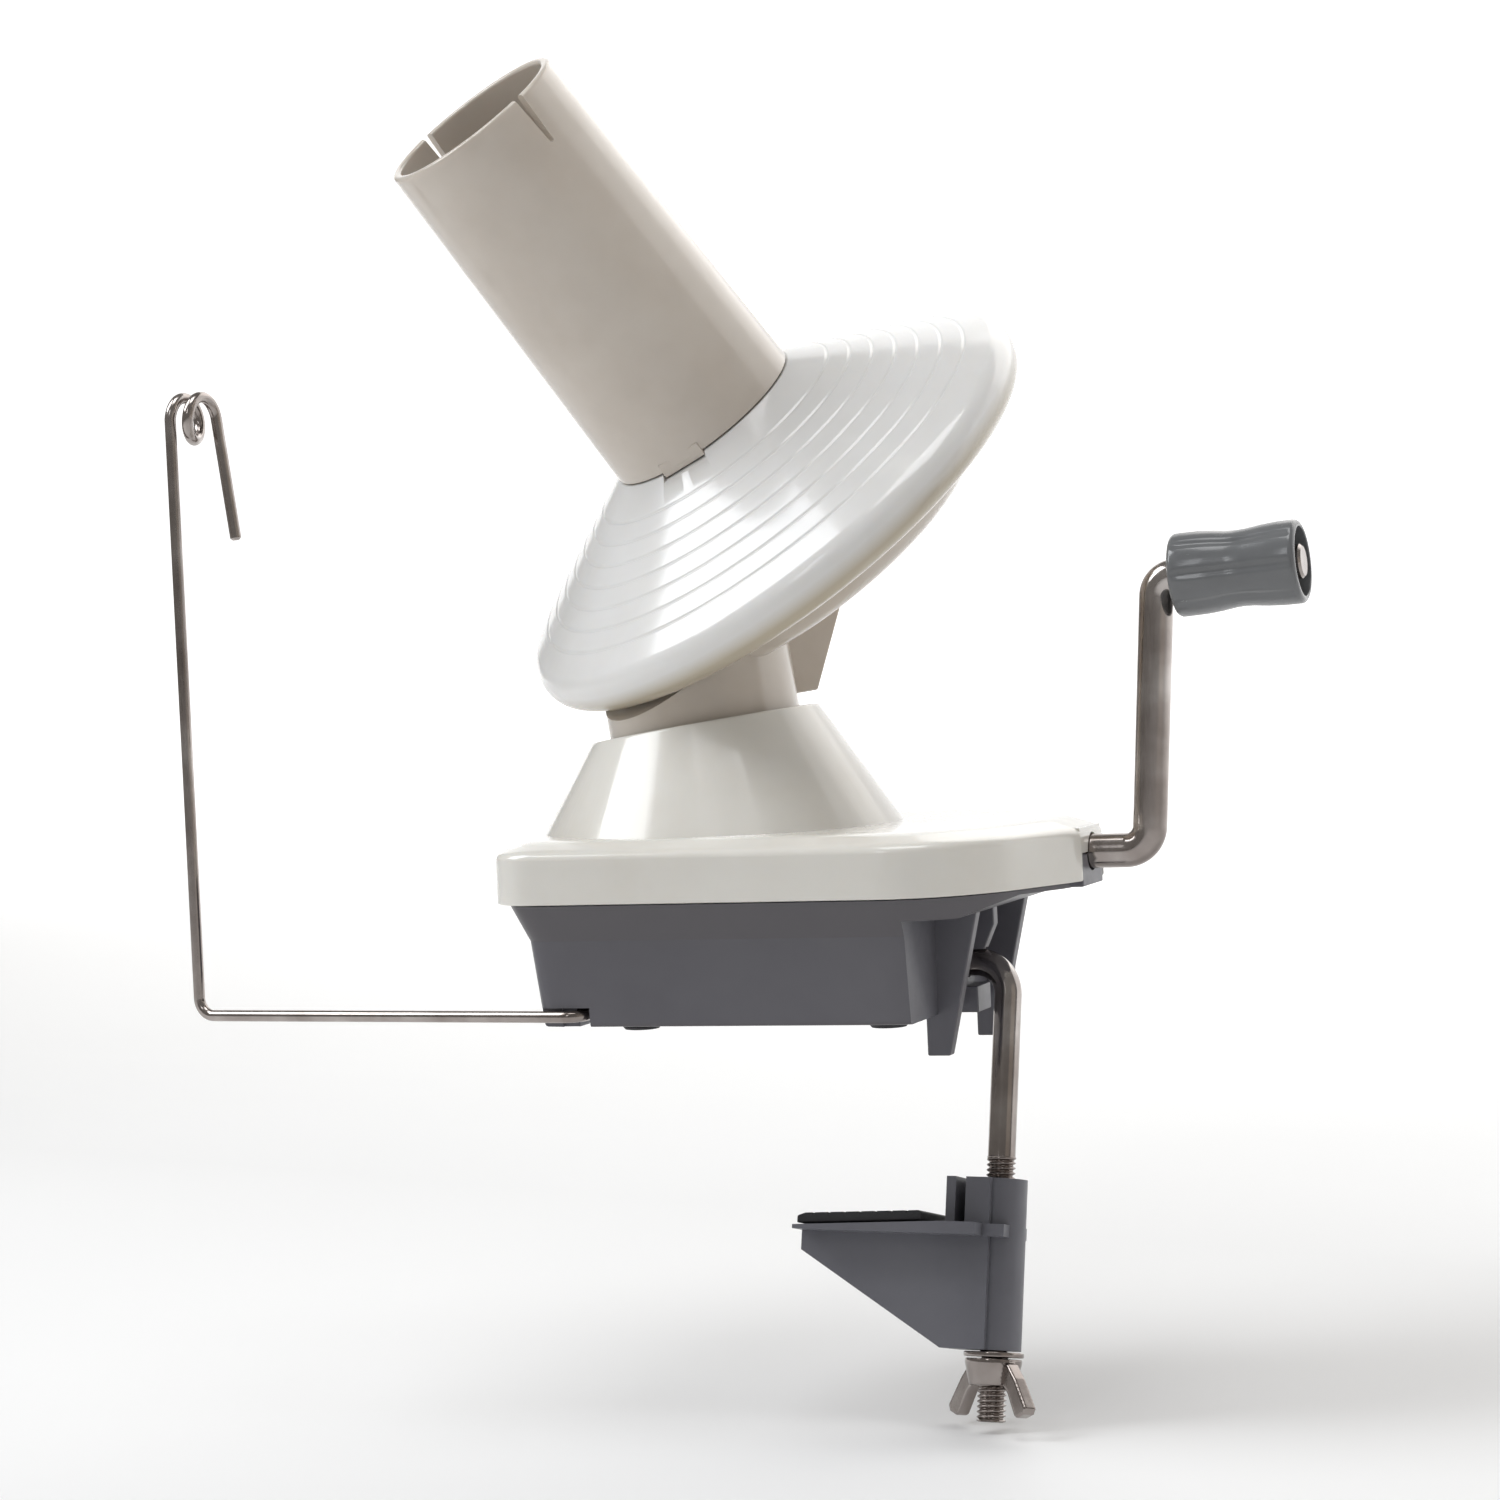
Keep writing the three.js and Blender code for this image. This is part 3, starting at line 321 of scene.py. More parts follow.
def blend_colour(tree, tex, stops):
    """Colours a noise by stops of (noise value, colour)."""
    ramp = tree.nodes.new("ShaderNodeValToRGB")
    for element, (position, colour) in zip(ramp.color_ramp.elements, (stops[0], stops[-1])):
        element.position, element.color = position, (*colour, 1)
    for position, colour in stops[1:-1]:
        ramp.color_ramp.elements.new(position).color = (*colour, 1)
    tree.links.new(tex.outputs["Fac"], ramp.inputs["Fac"])
    return ramp.outputs["Color"]


def bump(tree, shader, layers):
    """Stacks bump layers of (texture, depth in metres)."""
    last = None
    for tex, depth in layers:
        b = tree.nodes.new("ShaderNodeBump")
        b.inputs["Strength"].default_value = 1.0
        b.inputs["Distance"].default_value = depth
        tree.links.new(tex.outputs["Fac"], b.inputs["Height"])
        if last:
            tree.links.new(last.outputs["Normal"], b.inputs["Normal"])
        last = b
    tree.links.new(last.outputs["Normal"], shader.inputs["Normal"])


def paint_shade_by_facing(tree, colour, under, axis):
    """Painted shade: blends to a darker colour on the side that faces against the axis."""
    at = tree.nodes.new("ShaderNodeTexCoord")
    dot = tree.nodes.new("ShaderNodeVectorMath")
    dot.operation = "DOT_PRODUCT"
    dot.inputs[1].default_value = axis
    tree.links.new(at.outputs["Normal"], dot.inputs[0])
    mix = tree.nodes.new("ShaderNodeMix")
    mix.data_type = "RGBA"
    share, own_colour, shade_colour = mix.inputs[0], mix.inputs[6], mix.inputs[7]  # the colour sockets of the node
    tree.links.new(map_range(tree, dot.outputs["Value"], 0.12, -0.45), share)
    tree.links.new(colour, own_colour)
    shade_colour.default_value = (*under, 1)
    return mix.outputs[2]


def plastic(name, colours, rough, grain=(2600, 2.5e-6), wave=(90, 3e-5), coat=0.0, glow=0.0, under=None):
    """Moulded plastic. grain and wave are (scale per metre, depth in metres) of its fine and broad bumps."""
    mat, tree, shader = node_material(name)
    mottled = noise(tree, 34, 4)
    colour = blend_colour(tree, mottled, [(0.35, colours[0]), (0.5, colours[1]), (0.68, colours[2])])
    # under brings painted shade: a darker colour for the faces turned against its axis.
    if under:
        colour = paint_shade_by_facing(tree, colour, *under)
    tree.links.new(colour, shader.inputs["Base Color"])
    handled = noise(tree, 150, 5, 0.65)
    tree.links.new(spread(tree, handled, rough[0], rough[1]), shader.inputs["Roughness"])
    bump(tree, shader, [(noise(tree, wave[0], 2), wave[1]), (noise(tree, grain[0], 2), grain[1])])
    shader.inputs["IOR"].default_value = 1.5
    shader.inputs["Coat Weight"].default_value = coat
    shader.inputs["Coat Roughness"].default_value = 0.08
    if glow:
        shader.inputs["Subsurface Weight"].default_value = glow
        shader.inputs["Subsurface Radius"].default_value = (0.004, 0.0032, 0.0024)
        shader.inputs["Subsurface Scale"].default_value = 0.6
    return mat


def metal(name, colours, rough, stretch):
    """Clouded and brushed metal; stretch draws the brushing out along an axis."""
    mat, tree, shader = node_material(name)
    cloud = noise(tree, 60, 4)
    tree.links.new(blend_colour(tree, cloud, [(0.35, colours[0]), (0.55, colours[1]), (0.7, colours[2])]),
                   shader.inputs["Base Color"])
    brushed = noise(tree, 900, 3, 0.6, stretch)
    tree.links.new(spread(tree, brushed, rough[0], rough[1]), shader.inputs["Roughness"])
    bump(tree, shader, [(noise(tree, 160, 2), 8e-6), (brushed, 1.2e-6)])
    shader.inputs["Metallic"].default_value = 1.0
    return mat


SPINDLE_UP = tuple((SPINDLE.to_3x3() @ Vector((0, 0, 1))).normalized())
IVORY = plastic("ivory_plastic", [(0.74, 0.715, 0.66), (0.77, 0.75, 0.70), (0.79, 0.775, 0.73)],
                (0.12, 0.22), coat=0.5, glow=0.12)
# Darker, warmer copy of the ivory for the tube and the carrier: painted shade.
IVORY_SHADED = plastic("ivory_plastic_painted_shade", [(0.56, 0.50, 0.435), (0.60, 0.54, 0.475), (0.635, 0.58, 0.515)],
                     (0.14, 0.24), coat=0.4, glow=0.12)
# Lighter copy of the ivory for the flange: painted light; its underside is blended to a warm painted shade.
IVORY_LIT = plastic("ivory_plastic_flange_painted_light", [(0.78, 0.775, 0.76), (0.805, 0.80, 0.79), (0.825, 0.825, 0.82)],
                     (0.15, 0.25), coat=0.4, glow=0.12, under=((0.50, 0.445, 0.35), SPINDLE_UP))
GREY = plastic("grey_plastic", [(0.130, 0.131, 0.151), (0.150, 0.151, 0.173), (0.166, 0.167, 0.188)],
               (0.32, 0.46), grain=(3800, 5e-6), wave=(70, 2.5e-5))
# The case's grey; its downward faces are blended to a darker painted shade.
GREY_CASE = plastic("grey_plastic_case",
                    [(0.115, 0.115, 0.136), (0.130, 0.130, 0.152), (0.143, 0.143, 0.164)], (0.3, 0.44),
                    grain=(3800, 5e-6), wave=(70, 2.5e-5), under=((0.092, 0.086, 0.094), (0, 0, 1)))
GREY_GLOSS = plastic("grey_plastic_grip",
                     [(0.128, 0.133, 0.140), (0.150, 0.156, 0.163), (0.170, 0.176, 0.184)], (0.16, 0.3),
                     grain=(3000, 3e-6), wave=(120, 4e-5), coat=0.3)
NYLON = plastic("natural_nylon", [(0.70, 0.68, 0.60), (0.76, 0.74, 0.67), (0.80, 0.78, 0.72)],
                (0.38, 0.52), glow=0.2)
# Plated steel's own warm grey, darkened and browned to stand for the dark reflections around it: partly
# painted reflection.
STEEL = metal("plated_steel", [(0.27, 0.235, 0.218), (0.39, 0.352, 0.332), (0.53, 0.497, 0.478)],
              (0.09, 0.22), (1, 1, 0.12))
BRASS = metal("brass", [(0.52, 0.38, 0.17), (0.62, 0.47, 0.22), (0.68, 0.53, 0.28)],
              (0.2, 0.34), (1, 1, 1))
RUBBER = plastic("black_rubber", [(0.016, 0.016, 0.019), (0.024, 0.024, 0.027), (0.034, 0.034, 0.038)],
                 (0.62, 0.8), grain=(1900, 3e-5), wave=(240, 3e-5))
FINISH = {"ivory_plastic": IVORY, "grey_plastic": GREY, "natural_nylon": NYLON,
          "plated_steel": STEEL, "brass": BRASS, "black_rubber": RUBBER}


SHARP = 32  # degrees above which an edge stays sharp


def finish_mesh(mesh, material, sharp=SHARP):
    mesh.materials.clear()
    mesh.materials.append(material)
    mesh.shade_smooth()
    mesh.set_sharp_from_angle(angle=sharp * DEG)


def piece(obj, node, body, slot, matrix=WORLD, material=None, sharp=SHARP):
    """Names a finished mesh, puts it in the frame and lets it stand for a CAD node."""
    obj.data.transform(MM @ matrix)
    obj.name = obj.data.name = node + "_look"
    finish_mesh(obj.data, material or FINISH[slot], sharp)
    m = obj.modifiers.new("normals", "WEIGHTED_NORMAL")
    m.keep_sharp = True
    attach(obj, body)
    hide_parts(node)
    return obj


# ------------------------------------------------------------------ turning parts
CONE_SEAT, CONE_END = (21.6, -23.0), (57.37, -42.48)  # radius and height of the flange's cone
RIM, RIM_OUTSIDE, RIM_INSIDE = (54.7, -47.4), 5.5, 3.6
RING_COUNT, OUTER_RING, RING_PITCH = 7, 53.2, 4.1
RING_SHAPE = [(0.5, 0), (0.3, 0.03), (0.12, 0.17), (-0.1, 0.19), (-0.3, 0.06), (-0.5, 0.0)]
TAB_TURN, TAB_HALF, SLIT_TURN = 32, 5, -3
DISH_FOOT, DISH_RIM, DISH_ROUND = (41.2, -60.8), (50, -49), 1.6
NECK_R, NECK_BORE, NECK_FOOT = 19.5, 17.3, 53
FAR = 90  # past everything on the head


def cone_z(r):
    """Height of the flange's cone at a radius."""
    return CONE_SEAT[1] + (CONE_END[1] - CONE_SEAT[1]) * (r - CONE_SEAT[0]) / (CONE_END[0] - CONE_SEAT[0])


def rim_arc(radius, degrees):
    return [(RIM[0] + radius * math.cos(a * DEG), RIM[1] + radius * math.sin(a * DEG)) for a in degrees]


def flange_profile():
    roll = rim_arc(RIM_OUTSIDE, range(-75, 63, 6))
    inside = rim_arc(RIM_INSIDE, range(61, -76, -8))
    ring_radii = [OUTER_RING - RING_PITCH * k for k in range(RING_COUNT)]
    rings = [(r + d, cone_z(r + d) - drop - 0.02) for r in ring_radii for d, drop in RING_SHAPE]
    hub = [(21.7, -23.05), (21.5, -23.0), (18.7, -23), (18.7, -17.5), (16.9, -17.5), (16.9, -24.6),
           (9, -24.6), (9, -14.6), (3.4, -14.6), (3.4, -41.7), (9, -41.7), (9, -26.9), (19, -25.3),
           (50, -40.9)]
    hub_rounds = [0, 0, .3, .4, .4, .8, .8, .4, .3, .3, .4, 1.5, 2, 1.5]
    return roll + rings + [tuple(p) for p in rounded(hub, hub_rounds, 3, closed=False)] + inside


def make_flange():
    """Cone with turned rings, a rolled rim and a notch for the tube's tab."""
    half = TAB_HALF + 0.3
    notch = block(18.5, 23.4, -half, half, -24.0, -22)
    return cut(revolve("flange", flange_profile(), 224), place(notch, turn("Z", TAB_TURN)))


def make_tube():
    """Tapered winding tube with a tab at its foot and a slit across its top."""
    foot, top, foot_r, top_r, wall = -22.7, 54.85, 21.35, 19.45, 1.9
    corners = [(foot_r, foot), (top_r, top), (top_r - wall, top), (foot_r - wall, foot)]
    rows = rounded(corners, [0.3, 0.8, 0.8, 0.3], 5)
    profile = []
    for a, b in zip(rows, rows[1:] + rows[:1]):
        n = max(1, int(np.linalg.norm(b - a) / 6))
        profile += [tuple(a + (b - a) * k / n) for k in range(n)]
    tab = block(19.6, 21.2, -TAB_HALF, TAB_HALF, foot - 1.0, foot + 2, 0.2)
    slit = slab([(-0.5, 44.2), (-0.3, 43.9), (0.3, 43.9), (0.5, 44.2), (1.1, 56), (-1.1, 56)], -30, 30)
    body = join(revolve("tube", profile, 160), place(tab, turn("Z", TAB_TURN)))
    return cut(body, place(slit, turn("Z", SLIT_TURN)))


def on_spindle(obj):
    """Moves a piece drawn about the spindle into the frame of the head."""
    return place(obj, shift(0, 0, SPINDLE_Z) @ turn("Y", SPINDLE_TILT))


def dish(inset, lift, top):
    """The whole cone that the half dish is cut from, its wall moved in by inset and its floor up by lift."""
    slope = (DISH_RIM[0] - DISH_FOOT[0]) / (DISH_RIM[1] - DISH_FOOT[1])
    foot = DISH_FOOT[1] + lift

    def radius(z):
        return DISH_FOOT[0] + slope * (z - DISH_FOOT[1]) - inset

    profile = [(0, foot), (radius(foot) - DISH_ROUND, foot), (radius(foot + DISH_ROUND), foot + DISH_ROUND),
               (radius(top), top), (0, top)]
    return on_spindle(revolve("dish", profile, 160, [0, 1.4, 1.4, 0, 0]))


def head_fin():
    fin = slab([(-17, 61.2), (-26.1, 61.2), (-40.6, 86), (-36, 98), (-17, 80)], -5, 5, 0.4)
    return cut(fin, dish(2, 2, -19))


def spindle_boss():
    return on_spindle(revolve("boss", [(0, -60.3), (6.5, -60.3), (6.5, -54.3), (4.9, -54.3),
                                       (4.9, -52.2), (0, -52.2)], 64))


def neck_lid():
    """Thin wall that closes the neck under the flange's rim."""
    plate = revolve("lid", [(0, -51.2), (49.1, -51.2), (49.1, -55.7), (80, -55.7), (80, -53.5),
                            (51.3, -53.5), (51.3, -49), (0, -49)], 160)
    within_neck = [disc(18, NECK_FOOT, 120, 96), block(4, FAR, -FAR, FAR, 50, 160)]
    return combine(on_spindle(plate), within_neck, "INTERSECT")


def make_carrier():
    """Turning head: neck, half dish, fin and the boss that holds the spindle's pin."""
    outer = cut(dish(0.02, 0, -48), block(6, FAR, -FAR, FAR, 40, 160), block(-FAR, FAR, -FAR, FAR, 0, 61.25))
    neck = disc(NECK_R, NECK_FOOT, 100, 144, 0.45)
    room = cut(dish(2, 2, -44), block(4, FAR, -FAR, FAR, 40, 160))
    body = cut(join(outer, neck, head_fin()), room, disc(NECK_BORE, 55.6, 130, 128))
    body = join(body, tube(5.0, 8, 53.05, 76, 64), spindle_boss(), neck_lid())
    above = on_spindle(block(-200, 200, -200, 200, -45, 155))
    rim_room = on_spindle(tube(51.3, 80, -53.5, -30, 160))
    pin_hole = on_spindle(disc(3.3, -59.4, -40, 48))
    post_room = [disc(5.9, 40, 77, 64), disc(7.4, 76.4, 95, 64)]
    screw_holes = [place(disc(1.4, 50, 58, 24), shift(0, y, 0)) for y in (10.8, -10.8)]
    return cut(body, above, rim_room, *post_room, pin_hole, *screw_holes)


# ------------------------------------------------------------------ casings
def bezier2(a, b, c, n):
    a, b, c = (np.array(p, float) for p in (a, b, c))
    return [(1 - t) ** 2 * a + 2 * t * (1 - t) * b + t * t * c for t in (k / n for k in range(n + 1))]


CASE_HALF, CASE_LEFT, CASE_RIGHT, END_HALF = 44, -45, 72, 8
TUCK_X = -20  # from here leftwards the casing is drawn in


def half_outline():
    """The far half of the base's outline, from its left end to its right end."""
    w, left, right = CASE_HALF, CASE_LEFT, CASE_RIGHT
    side_from, side_to = left + 15, right - 32
    left_end = bezier2((left, 0), (left + 0.2, 0.45 * w), (left + 4, 0.73 * w), 12)
    corner = bezier2((left + 4, 0.73 * w), (left + 6, w), (side_from, w), 16)
    taper = bezier2((side_to, w), (right - 12, w), (right - 1, END_HALF + 2.6), 28)
    end = bezier2(taper[-1], (right, END_HALF + 0.4), (right, END_HALF), 4)
    side = [np.array((side_from + (side_to - side_from) * k / 8, w)) for k in range(1, 8)]
    flat = [np.array((right, END_HALF * k / 4)) for k in (3, 2, 1)]
    return left_end + corner[1:] + side + taper + end[1:] + flat


def outline_edges():
    """The closed outline's points, and the outward normal and reach of each edge."""
    far_half = half_outline()
    near_half = [np.array((p[0], -p[1])) for p in far_half[::-1]]
    loop = np.array(near_half + far_half[1:] + [np.array((float(CASE_RIGHT), 0.0))])
    run = np.roll(loop, -1, axis=0) - loop
    keep = np.linalg.norm(run, axis=1) > 1e-6
    loop, run = loop[keep], run[keep]
    normals = np.column_stack((run[:, 1], -run[:, 0])) / np.linalg.norm(run, axis=1)[:, None]
    reach = np.sum(normals * loop, axis=1)
    if np.mean(reach) < 0:
        normals, reach = -normals, -reach
    return loop, normals, reach


LOOP, NORMALS, REACH = outline_edges()


def outline(inset, z, tuck=0.0):
    """Closed base outline moved inwards by inset; the left end is drawn in by tuck."""
    centre = np.array(((CASE_LEFT + CASE_RIGHT) / 2, 0.0))
    rays = LOOP - centre
    rays /= np.linalg.norm(rays, axis=1)[:, None]
    facing = rays @ NORMALS.T
    room = (REACH - inset - NORMALS @ centre)[None, :]
    far = np.where(facing > 1e-3, room / np.maximum(facing, 1e-3), 1e9).min(axis=1)
    ring = []
    for x, y in centre + rays * far[:, None]:
        ring.append((x + tuck * max(0.0, (TUCK_X - x) / (TUCK_X - CASE_LEFT)), y, z))
    return ring


def case_skin(rows):
    return skin("case", [outline(*row) for row in rows])


SCREWS = [(-32.5, 20.5), (-32.5, -20.5), (29, 26), (29, -26)]
FEET = [(-13, 30), (-13, -30), (38, 29.5), (38, -29.5)]
GUIDE_X, GUIDE_Y, EYE_X, EYE_Y = -23, -38.2, -115.8, -19.8  # where the guide bends, seen from above
GUIDE_TURN = math.atan2(EYE_Y - GUIDE_Y, EYE_X - GUIDE_X) / DEG
GROOVE_HALF, GROOVE_TOP, SNAP_LIP = 1.7, 3.8, 1.1
BEARING_X = (24.5, 29.5)
CRANK_BORE, BUSH_BORE, CLAMP_BORE = 3.8, 5.6, 3.05


def at_each(points, r, z0, z1, n):
    return [place(disc(r, z0, z1, n), shift(x, y, 0)) for x, y in points]


def on_axis(axis, r, start, end, n=48):
    return place(disc(r, start, end, n), axis)


def underside(x, lift):
    """What is taken from under the crank's end of the lower casing."""
    profile = [(x, -5), (x, 20 + lift), (54, 20 + lift), (63, 23.4 + lift), (90, 23.4 + lift), (90, -5)]
    return slab(profile, -60, 60)


def guide_channels():
    """The groove that the guide lies in, with a narrow mouth that its leg snaps past."""
    side, far_side = GUIDE_X + GROOVE_HALF, GUIDE_X - GROOVE_HALF
    arm = place(block(-2, 95, -GROOVE_HALF, GROOVE_HALF, -1, GROOVE_TOP),
                shift(GUIDE_X, GUIDE_Y, 0) @ turn("Z", GUIDE_TURN))
    leg = block(far_side, side, -30, -20.5, -1, GROOVE_TOP)
    mouth = block(GUIDE_X - 1.12, GUIDE_X + 1.12, -50, -29, -1, GROOVE_TOP)
    tunnel = block(far_side, side, -50, -29, SNAP_LIP, GROOVE_TOP)
    bend_room = block(GUIDE_X - 4.4, side, -50, GUIDE_Y + 3.4, -1, GROOVE_TOP)
    return [arm, leg, mouth, tunnel, bend_room]


def bottom_shell():
    """Outside of the lower casing: rows of (inset, height, tuck) up to the crease and on to the seam."""
    return case_skin([(8.1, 0, 1.7), (7.65, 0.12, 1.7), (7.45, 0.5, 1.68), (7.38, 1.0, 1.66),
                      (5.56, 17.0, 1.11), (5.49, 17.25, 1.1), (5.35, 17.5, 1.08),
                      (2.6, 24.0, 0.05), (2.5, 24.25, 0), (2.7, 24.3, 0)])


def lower_fittings():
    """What stands in and under the lower casing."""
    posts = at_each(SCREWS, 4, 2, 24.27, 32)
    fins = [slab([(42, -8.1), (46.6, -8.1), (53.4, 21), (42, 21)], y - 1.5, y + 1.5, 0.35) for y in (-17, 17)]
    rib = slab([(43, 6), (47, 6), (51.5, 16), (51.5, 21), (43, 21)], -1.5, 1.5, 0.3)
    heel = block(43, 48.5, -4.5, 4.5, -1.2, 4, 0.3)
    socket = place(disc(5.4, 33, 45.5, 48, 0.4), CLAMP_AXIS)
    foot = block(33.1, 44.4, -3, 3, 2, CLAMP_Z)
    bearing = block(*BEARING_X, -9, 9, 2, 29.85)
    saddle = block(64, 71.8, -7.4, 7.4, 23.5, 29.85, 0.3)
    tower = slab([(-15, 2), (-4.2, 2), (-4.2, 18.5), (0.9, 18.5), (0.9, 40.5), (-12, 38.7), (-15, 30)],
                 -6.2, 6.2)
    guide_pad = combine(block(GUIDE_X - 4, GUIDE_X + 4, -40, -19, 2.1, 5.6), [bottom_shell()], "INTERSECT")
    return [*posts, *fins, rib, heel, socket, foot, bearing, saddle, tower, guide_pad]


def lower_bores():
    crank = [on_axis(CRANK_AXIS, CRANK_BORE, 52, 77), on_axis(CRANK_AXIS, BUSH_BORE, 23.5, 30.5)]
    clamp = [on_axis(CLAMP_AXIS, CLAMP_BORE, 31, 60)]
    post = [on_axis(MAIN, 3.3, 25, 60, 40)]
    screws = at_each(SCREWS, 1.8, -1, 30, 24) + at_each(SCREWS, 3.1, -1, 3, 32)
    feet = at_each(FEET, 4.1, -1, 1.5, 40)
    pin = [on_axis(MAIN @ shift(0, 0, 33) @ turn("X", 90), 1.3, -10, 10, 24)]
    return crank + clamp + post + screws + feet + pin


def make_bottom_case():
    room = case_skin([(9.5, 4, 1.7), (7.5, 17.3, 1.1), (4.4, 25.3, 0)])
    body = cut(bottom_shell(), underside(44.5, 0), cut(room, underside(42.5, 2)))
    return cut(join(body, *lower_fittings()), *lower_bores(), *guide_channels())


def pedestal(foot_r, foot_z, top_r, top_z, n=144):
    """Cone from a level foot to a top with a rounded edge, square to the leaning post."""
    foot = [(x - 4.8, y, z) for x, y, z in circle(foot_r, foot_z, n)]
    edge = [(0.33, -0.5), (0.05, -0.12), (-0.25, 0)]
    top = [[tuple(MAIN @ Vector(p)) for p in circle(top_r + dr, top_z + dz, n)] for dr, dz in edge]
    return skin("pedestal", [foot, *top])


def make_top_case():
    outer = case_skin([(0.5, 24.6), (0.12, 24.72), (0.03, 25.0), (0.03, 33.2), (0.08, 33.6), (0.25, 34.05),
                       (0.6, 34.5), (1.1, 34.85), (2.2, 35.3), (4.0, 35.85), (4.9, 36.2), (6.2, 36.55),
                       (7.6, 36.74), (9.5, 36.8)])
    room = case_skin([(2, 23.6), (2, 32.6), (4.8, 33.9), (6.3, 34.8)])
    body = cut(join(outer, pedestal(38, 34.4, 23.3, 58.2)), room, pedestal(35.8, 33.2, 21.1, 55.8))
    posts = at_each(SCREWS, 3.6, 24.6, 35.4, 32)
    bearing = block(*BEARING_X, -9, 9, 30.15, 35.8)
    end_block = block(64, 71.5, -7.7, 7.7, 30.15, 35.0)
    neck_hole = on_axis(MAIN, 20.1, 50, 70, 144)
    saddle_room = block(60, 80, -7.7, 7.7, 20, 30.15)
    crank = [on_axis(CRANK_AXIS, CRANK_BORE, 50, 80), on_axis(CRANK_AXIS, BUSH_BORE, 23.5, 30.5),
             on_axis(CRANK_AXIS, BUSH_BORE, 29.4, 32.4)]
    pilots = at_each(SCREWS, 1.75, 20, 31.5, 24)
    return cut(join(body, *posts, bearing, end_block), neck_hole, saddle_room, *crank, *pilots)


# ------------------------------------------------------------------ wires and grip
WIRE_R, EYE_Z, COIL_R, COIL_PITCH, COIL_DEGREES = 1.19, 125, 4.4, 4.07, 540
CRANK_R, CRANK_START, CRANK_PAST_KNEE = 3.38, 2.6, 29.2
GRIP_LENGTH, FLUTES, FLUTE_DEPTH = 25.2, 8, 0.42


def make_guide():
    """Level arm, upright, a coil of one and a half turns for the yarn, and a hanging tip."""
    low, end_low = 2.2, 1.05
    corners = [(GUIDE_X, -21.5, low), (GUIDE_X, GUIDE_Y, low), (EYE_X, EYE_Y, end_low), (EYE_X, EYE_Y, EYE_Z)]
    path = wire_path(corners, [3, 3.6], 12, 5)
    for degrees in range(10, COIL_DEGREES + 1, 10):
        a = degrees * DEG
        path.append(Vector((EYE_X + COIL_PITCH * degrees / 360, EYE_Y + COIL_R * (1 - math.cos(a)),
                            EYE_Z + COIL_R * math.sin(a))))
    last = path[-1]
    tip = last + Vector((3.2, 0, -25.5))
    down = (tip - last).normalized()
    path += [last + down * 1.2, last + down * 2.6, tip]
    return sweep("guide", path, WIRE_R, 24, 0.5)


def make_crank():
    corners = [(CRANK_START, 0, CRANK_Z), (ELBOW_X, 0, CRANK_Z), KNEE, KNEE + GRIP_AXIS * CRANK_PAST_KNEE]
    rod = sweep("crank", wire_path(corners, [5, 4], 16, 6), CRANK_R, 40, 0.5)
    pin_hole = place(disc(1.3, 20, 40, 24), shift(12, 0, 0))
    return cut(rod, pin_hole)


def fluted(r, z, n):
    """Ring of the grip's outside; the flutes fade out towards both ends."""
    fade = min(1.0, max(0.0, min(z - 0.6, GRIP_LENGTH - 0.6 - z) / 2.0))
    ring = []
    for a in (2 * math.pi * i / n for i in range(n)):
        depth = FLUTE_DEPTH * max(0.0, math.cos(FLUTES * a)) ** 3 * fade
        ring.append(((r - depth) * math.cos(a), (r - depth) * math.sin(a), z))
    return ring


def make_grip():
    """Waisted grip with shallow flutes and a hollow end."""
    n = 160
    outside = [(7.25, 0), (7.85, 0.25), (8.2, 0.9), (8.25, 2.4), (8.2, 5.5), (7.95, 8.5), (7.6, 11),
               (7.5, 13), (7.62, 15), (8.0, 18), (8.22, 21), (8.25, 24.0), (8.1, 24.6), (7.75, 25.0),
               (7.3, GRIP_LENGTH)]
    inside = [(6.9, GRIP_LENGTH), (6.7, 25.0), (6.65, 20.6), (6.4, 20.2), (4.1, 20.2), (3.85, 20.0),
              (3.8, 0.2), (4.0, 0)]
    rings = [fluted(r, z, n) for r, z in outside] + [circle(r, z, n) for r, z in inside]
    return skin("grip", rings, closed=True)


# ------------------------------------------------------------------ clamp
ROD_R, THREAD_R, THREAD_DEPTH, THREAD_TOP, THREAD_LENGTH = 2.72, 2.88, 0.56, -38.6, 51.7
THREAD_STEP = 0.125  # between rings, so eight to a turn
JAW_TOP, PLATE_TOP, PLATE_FOOT, JAW_FOOT = -43.1, -52.2, -54.6, -76.4
JAW_TIP, JAW_HEEL, BOSS_R, ROD_ROOM = -38.4, -8.9, 5.35, 3.25
PAD_RIBS, PAD_RIB_PITCH, PAD_FIRST_RIB = 7, 3.2, -34.5
WASHER_FOOT, WASHER_TOP, NUT_TOP = -77.7, -76.7, -78.0


def thread_radius(index, angle):
    """Radius of the M6 thread, which turns down along the rod and fades at both ends."""
    along = index * THREAD_STEP
    wave = abs(((along - angle / (2 * math.pi)) % 1.0) - 0.5) * 2
    depth = THREAD_DEPTH * min(1.0, along / 0.8) * min(1.0, (THREAD_LENGTH - along) / 0.6)
    crest = min(1.0, max(0.0, wave * 1.35 - 0.12))
    return THREAD_R - depth * (1 - crest)


def make_clamp_rod():
    """Bent rod: a short leg for the socket, a smooth shank and a cut thread."""
    lean = CLAMP_LEAN * DEG
    leg = Vector((-math.cos(lean), 0, -math.sin(lean))) * 24.05
    smooth = wire_path([leg, (0, 0, 0), (0, 0, THREAD_TOP)], [6.5], 16, 5)
    steps = int(THREAD_LENGTH / THREAD_STEP)
    thread = [Vector((0, 0, THREAD_TOP - THREAD_STEP * k)) for k in range(1, steps + 1)]
    first = len(smooth)

    def radius(i, angle):
        return ROD_R if i < first else thread_radius(i - first, angle)

    return sweep("clamp_rod", smooth + thread, radius, 40, 0.4)


